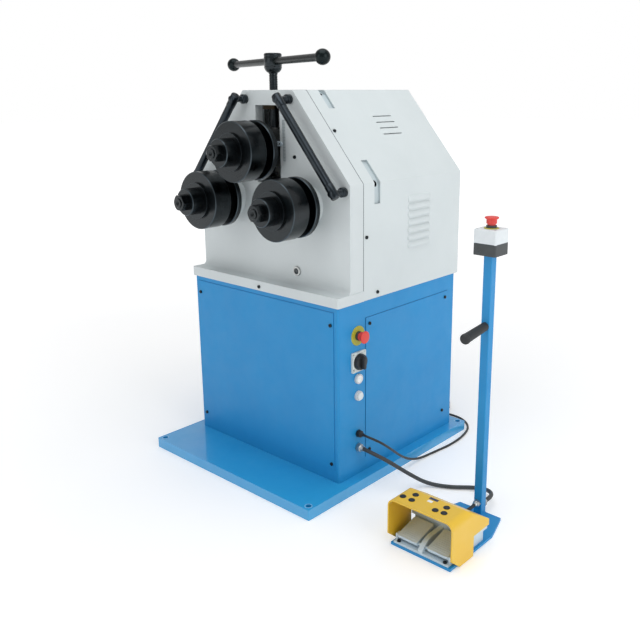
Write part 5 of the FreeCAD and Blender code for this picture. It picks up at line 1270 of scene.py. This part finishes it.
# %% [markdown]
# The post is welded to its plate. A hand-laid fillet is a row of overlapping ripples, so a small
# ripple is stamped along a square path round the foot, each turned outward.

# %% Weld at the post's foot
RIPPLES, RIPPLE_STEP, FOOT_HALF, FOOT_Z = 13, 2.0, 13.2, 8
weld_marks = []
for i in range(4 * RIPPLES):
    run, part = divmod(i, RIPPLES)
    along = RIPPLE_STEP * (part + 0.5 - RIPPLES / 2)
    x, y = ((along, -FOOT_HALF), (FOOT_HALF, along), (-along, FOOT_HALF),
            (-FOOT_HALF, -along))[run]
    nx, ny = ((0, -1), (1, 0), (0, 1), (-1, 0))[run]
    weld_marks.append(((POST_X + x, POST_Y + y, FOOT_Z), (nx, ny, 1)))
ripple_item = item_of("ripple", turned([(0, 1.3), (1.2, 1.1), (2.1, 0.2), (2.3, -0.8), (0, -0.8)],
                                       10), 80)
stamped("post_weld", weld_marks, ripple_item, blue_coat)
print("weld ripples:", len(weld_marks))

# %% [markdown]
# ## Sight glass
# The oil level shows through a small glass in its plated ring: a shallow dome over dark oil.

# %% Sight glass
GLASS_R = 9.4
glass_dome = turned([(0, 1.5), (4, 1.35), (7.4, 0.8), (GLASS_R, 0), (GLASS_R, -0.4), (0, -0.4)],
                    40)
piece("sight_glass", moved(glass_dome, (117, -190.2, 672), FRONT), dark_glass, "root",
      smooth=50)
print("glass radius:", GLASS_R, "mm")

# %% [markdown]
# ## Worn and highlit edges of the rolls
# Work and wrenches rub the black oxide off the chamfers, and each one shows as a thin brighter
# line, which is also a painted highlight along the edge.
# The chamfers are rings of known size, so a skin that stands 0.08 mm proud is turned over each.
# One set serves all three rolls, and each copy rides on its own roll, as the rolls turn apart.

# %% Roll edges
# Brighter oxide on the chamfers: rubbed wear and a painted highlight along each edge.
rubbed_and_highlit_oxide = worked_metal("black_oxide_steel_rubbed_and_highlit_edge", "#313B40", "#48535A", 2.0, 0.32,
                          oiled=0.4)


def edge_skin(radius, face, cut, facing):
    """Skin over a chamfer between a face and a rim; facing is 1 to the front, -1 to the back."""
    inner, back = radius - cut, face - (cut + 0.4) * facing
    return turned([(inner - 0.4, face - 0.3 * facing), (inner - 0.4, face + 0.05 * facing),
                   (inner + 0.03, face + 0.08 * facing),
                   (radius + 0.08, face + (0.03 - cut) * facing), (radius + 0.05, back),
                   (radius - 0.3, back)], 96, closed=True)


EDGES = ((91, 339, 2, 1), (91, 277, 2, -1), (91, 249, 2, 1), (91, 232, 2, -1), (57, 347, 0.3, 1),
         (42, 388, 2, 1))
roll_edges = joined(*(edge_skin(*edge) for edge in EDGES))
for roll, body in (("top", "top_roll"), ("right", "lower_roll_right"), ("left", "lower_roll_left")):
    x, z = SHAFTS[roll]
    skins = piece("edges_of_" + roll + "_roll", moved(roll_edges, (x, 0, z), FRONT), rubbed_and_highlit_oxide,
                  body, smooth=20)
print("edge skins:", len(EDGES), "on each roll,", len(skins.data.polygons), "faces")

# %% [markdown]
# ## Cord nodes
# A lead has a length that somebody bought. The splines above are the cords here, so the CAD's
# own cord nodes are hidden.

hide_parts("mains_cord", "mains_coil")
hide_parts("pedal_hose")
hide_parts("jumper_cable")

# %% [markdown]
# ## Floor and light
# The floor is a plain pale sheet that brightens far away, as a studio sweep does. Light comes from
# a large soft panel overhead, a broad one from the right and a weaker one from the front, in a
# white surround that is dimmer in front, so tops are brightest and the front faces are darker
# than the right side. Hard lamps would show more edge, but they blow out the pale paint.

# %% Floor
FLOOR_HALF = 30.0
floor_coat, floor_tree = blank("studio_floor_pale")
floor_shader = floor_tree.nodes["Principled BSDF"]
floor_place = add(floor_tree, "ShaderNodeTexCoord").outputs["Object"]
floor_cloud = add(floor_tree, "ShaderNodeTexNoise", {"Vector": floor_place, "Scale": 1.5})
floor_tint = add(floor_tree, "ShaderNodeMix", {"Factor": floor_cloud.outputs["Fac"],
                                               6: linear("#F3F4F5"), 7: linear("#F8F8F8")},
                 data_type="RGBA")
floor_tree.links.new(floor_tint.outputs[2], floor_shader.inputs["Base Color"])
floor_shader.inputs["Roughness"].default_value = 0.9
floor_shader.inputs["Emission Color"].default_value = linear("#FFFFFF")
floor_reach = add(floor_tree, "ShaderNodeVectorMath", {0: floor_place}, operation="LENGTH")
floor_glow = add(floor_tree, "ShaderNodeMapRange", {"Value": floor_reach.outputs["Value"],
                                                    "From Min": 0.9, "From Max": 4.5,
                                                    "To Min": 0.2, "To Max": 0.62})
floor_tree.links.new(floor_glow.outputs["Result"], floor_shader.inputs["Emission Strength"])
floor_mesh = bpy.data.meshes.new("floor")
floor_mesh.from_pydata([(x * FLOOR_HALF, y * FLOOR_HALF, 0.0)
                        for x, y in ((-1, -1), (1, -1), (1, 1), (-1, 1))], [], [(0, 1, 2, 3)])
floor_mesh.materials.append(floor_coat)
floor = bpy.data.objects.new("floor", floor_mesh)
bpy.context.scene.collection.objects.link(floor)
print("floor side:", 2 * FLOOR_HALF, "m")

# %% Lights
LIT_POINT = Vector((0.1, 0, 0.6))


def panel_light(name, place, size, power):
    """Square white area light at a place in metres, turned toward the lit point."""
    data = bpy.data.lights.new(name, "AREA")
    data.shape = "SQUARE"
    data.size = size
    data.energy = power
    made = bpy.data.objects.new(name, data)
    bpy.context.scene.collection.objects.link(made)
    made.location = place
    made.rotation_mode = "QUATERNION"
    made.rotation_quaternion = (LIT_POINT - Vector(place)).to_track_quat("-Z", "Y")


panel_light("overhead_panel", (0.5, -0.6, 3.6), 2.6, 41.0)
panel_light("right_panel", (4.0, -0.4, 2.0), 2.4, 38.0)
panel_light("front_panel_light", (-0.8, -4.2, 1.9), 2.4, 22.0)
surround = bpy.data.worlds.new("white_surround")
surround.use_nodes = True
sky = surround.node_tree.nodes["Background"]
sky.inputs["Color"].default_value = linear("#FFFFFF")
seen_by = add(surround.node_tree, "ShaderNodeLightPath").outputs["Is Camera Ray"]
way = add(surround.node_tree, "ShaderNodeSeparateXYZ",
          {"Vector": add(surround.node_tree, "ShaderNodeTexCoord").outputs["Generated"]})
graded = add(surround.node_tree, "ShaderNodeMapRange", {"Value": way.outputs["Y"],
                                                        "From Min": -1.0, "From Max": 1.0,
                                                        "To Min": 0.38, "To Max": 0.72})
level = add(surround.node_tree, "ShaderNodeMapRange", {"Value": seen_by,
                                                       "To Min": graded.outputs["Result"],
                                                       "To Max": 1.0})
surround.node_tree.links.new(level.outputs["Result"], sky.inputs["Strength"])
bpy.context.scene.world = surround
bpy.context.scene.view_settings.view_transform = "Standard"
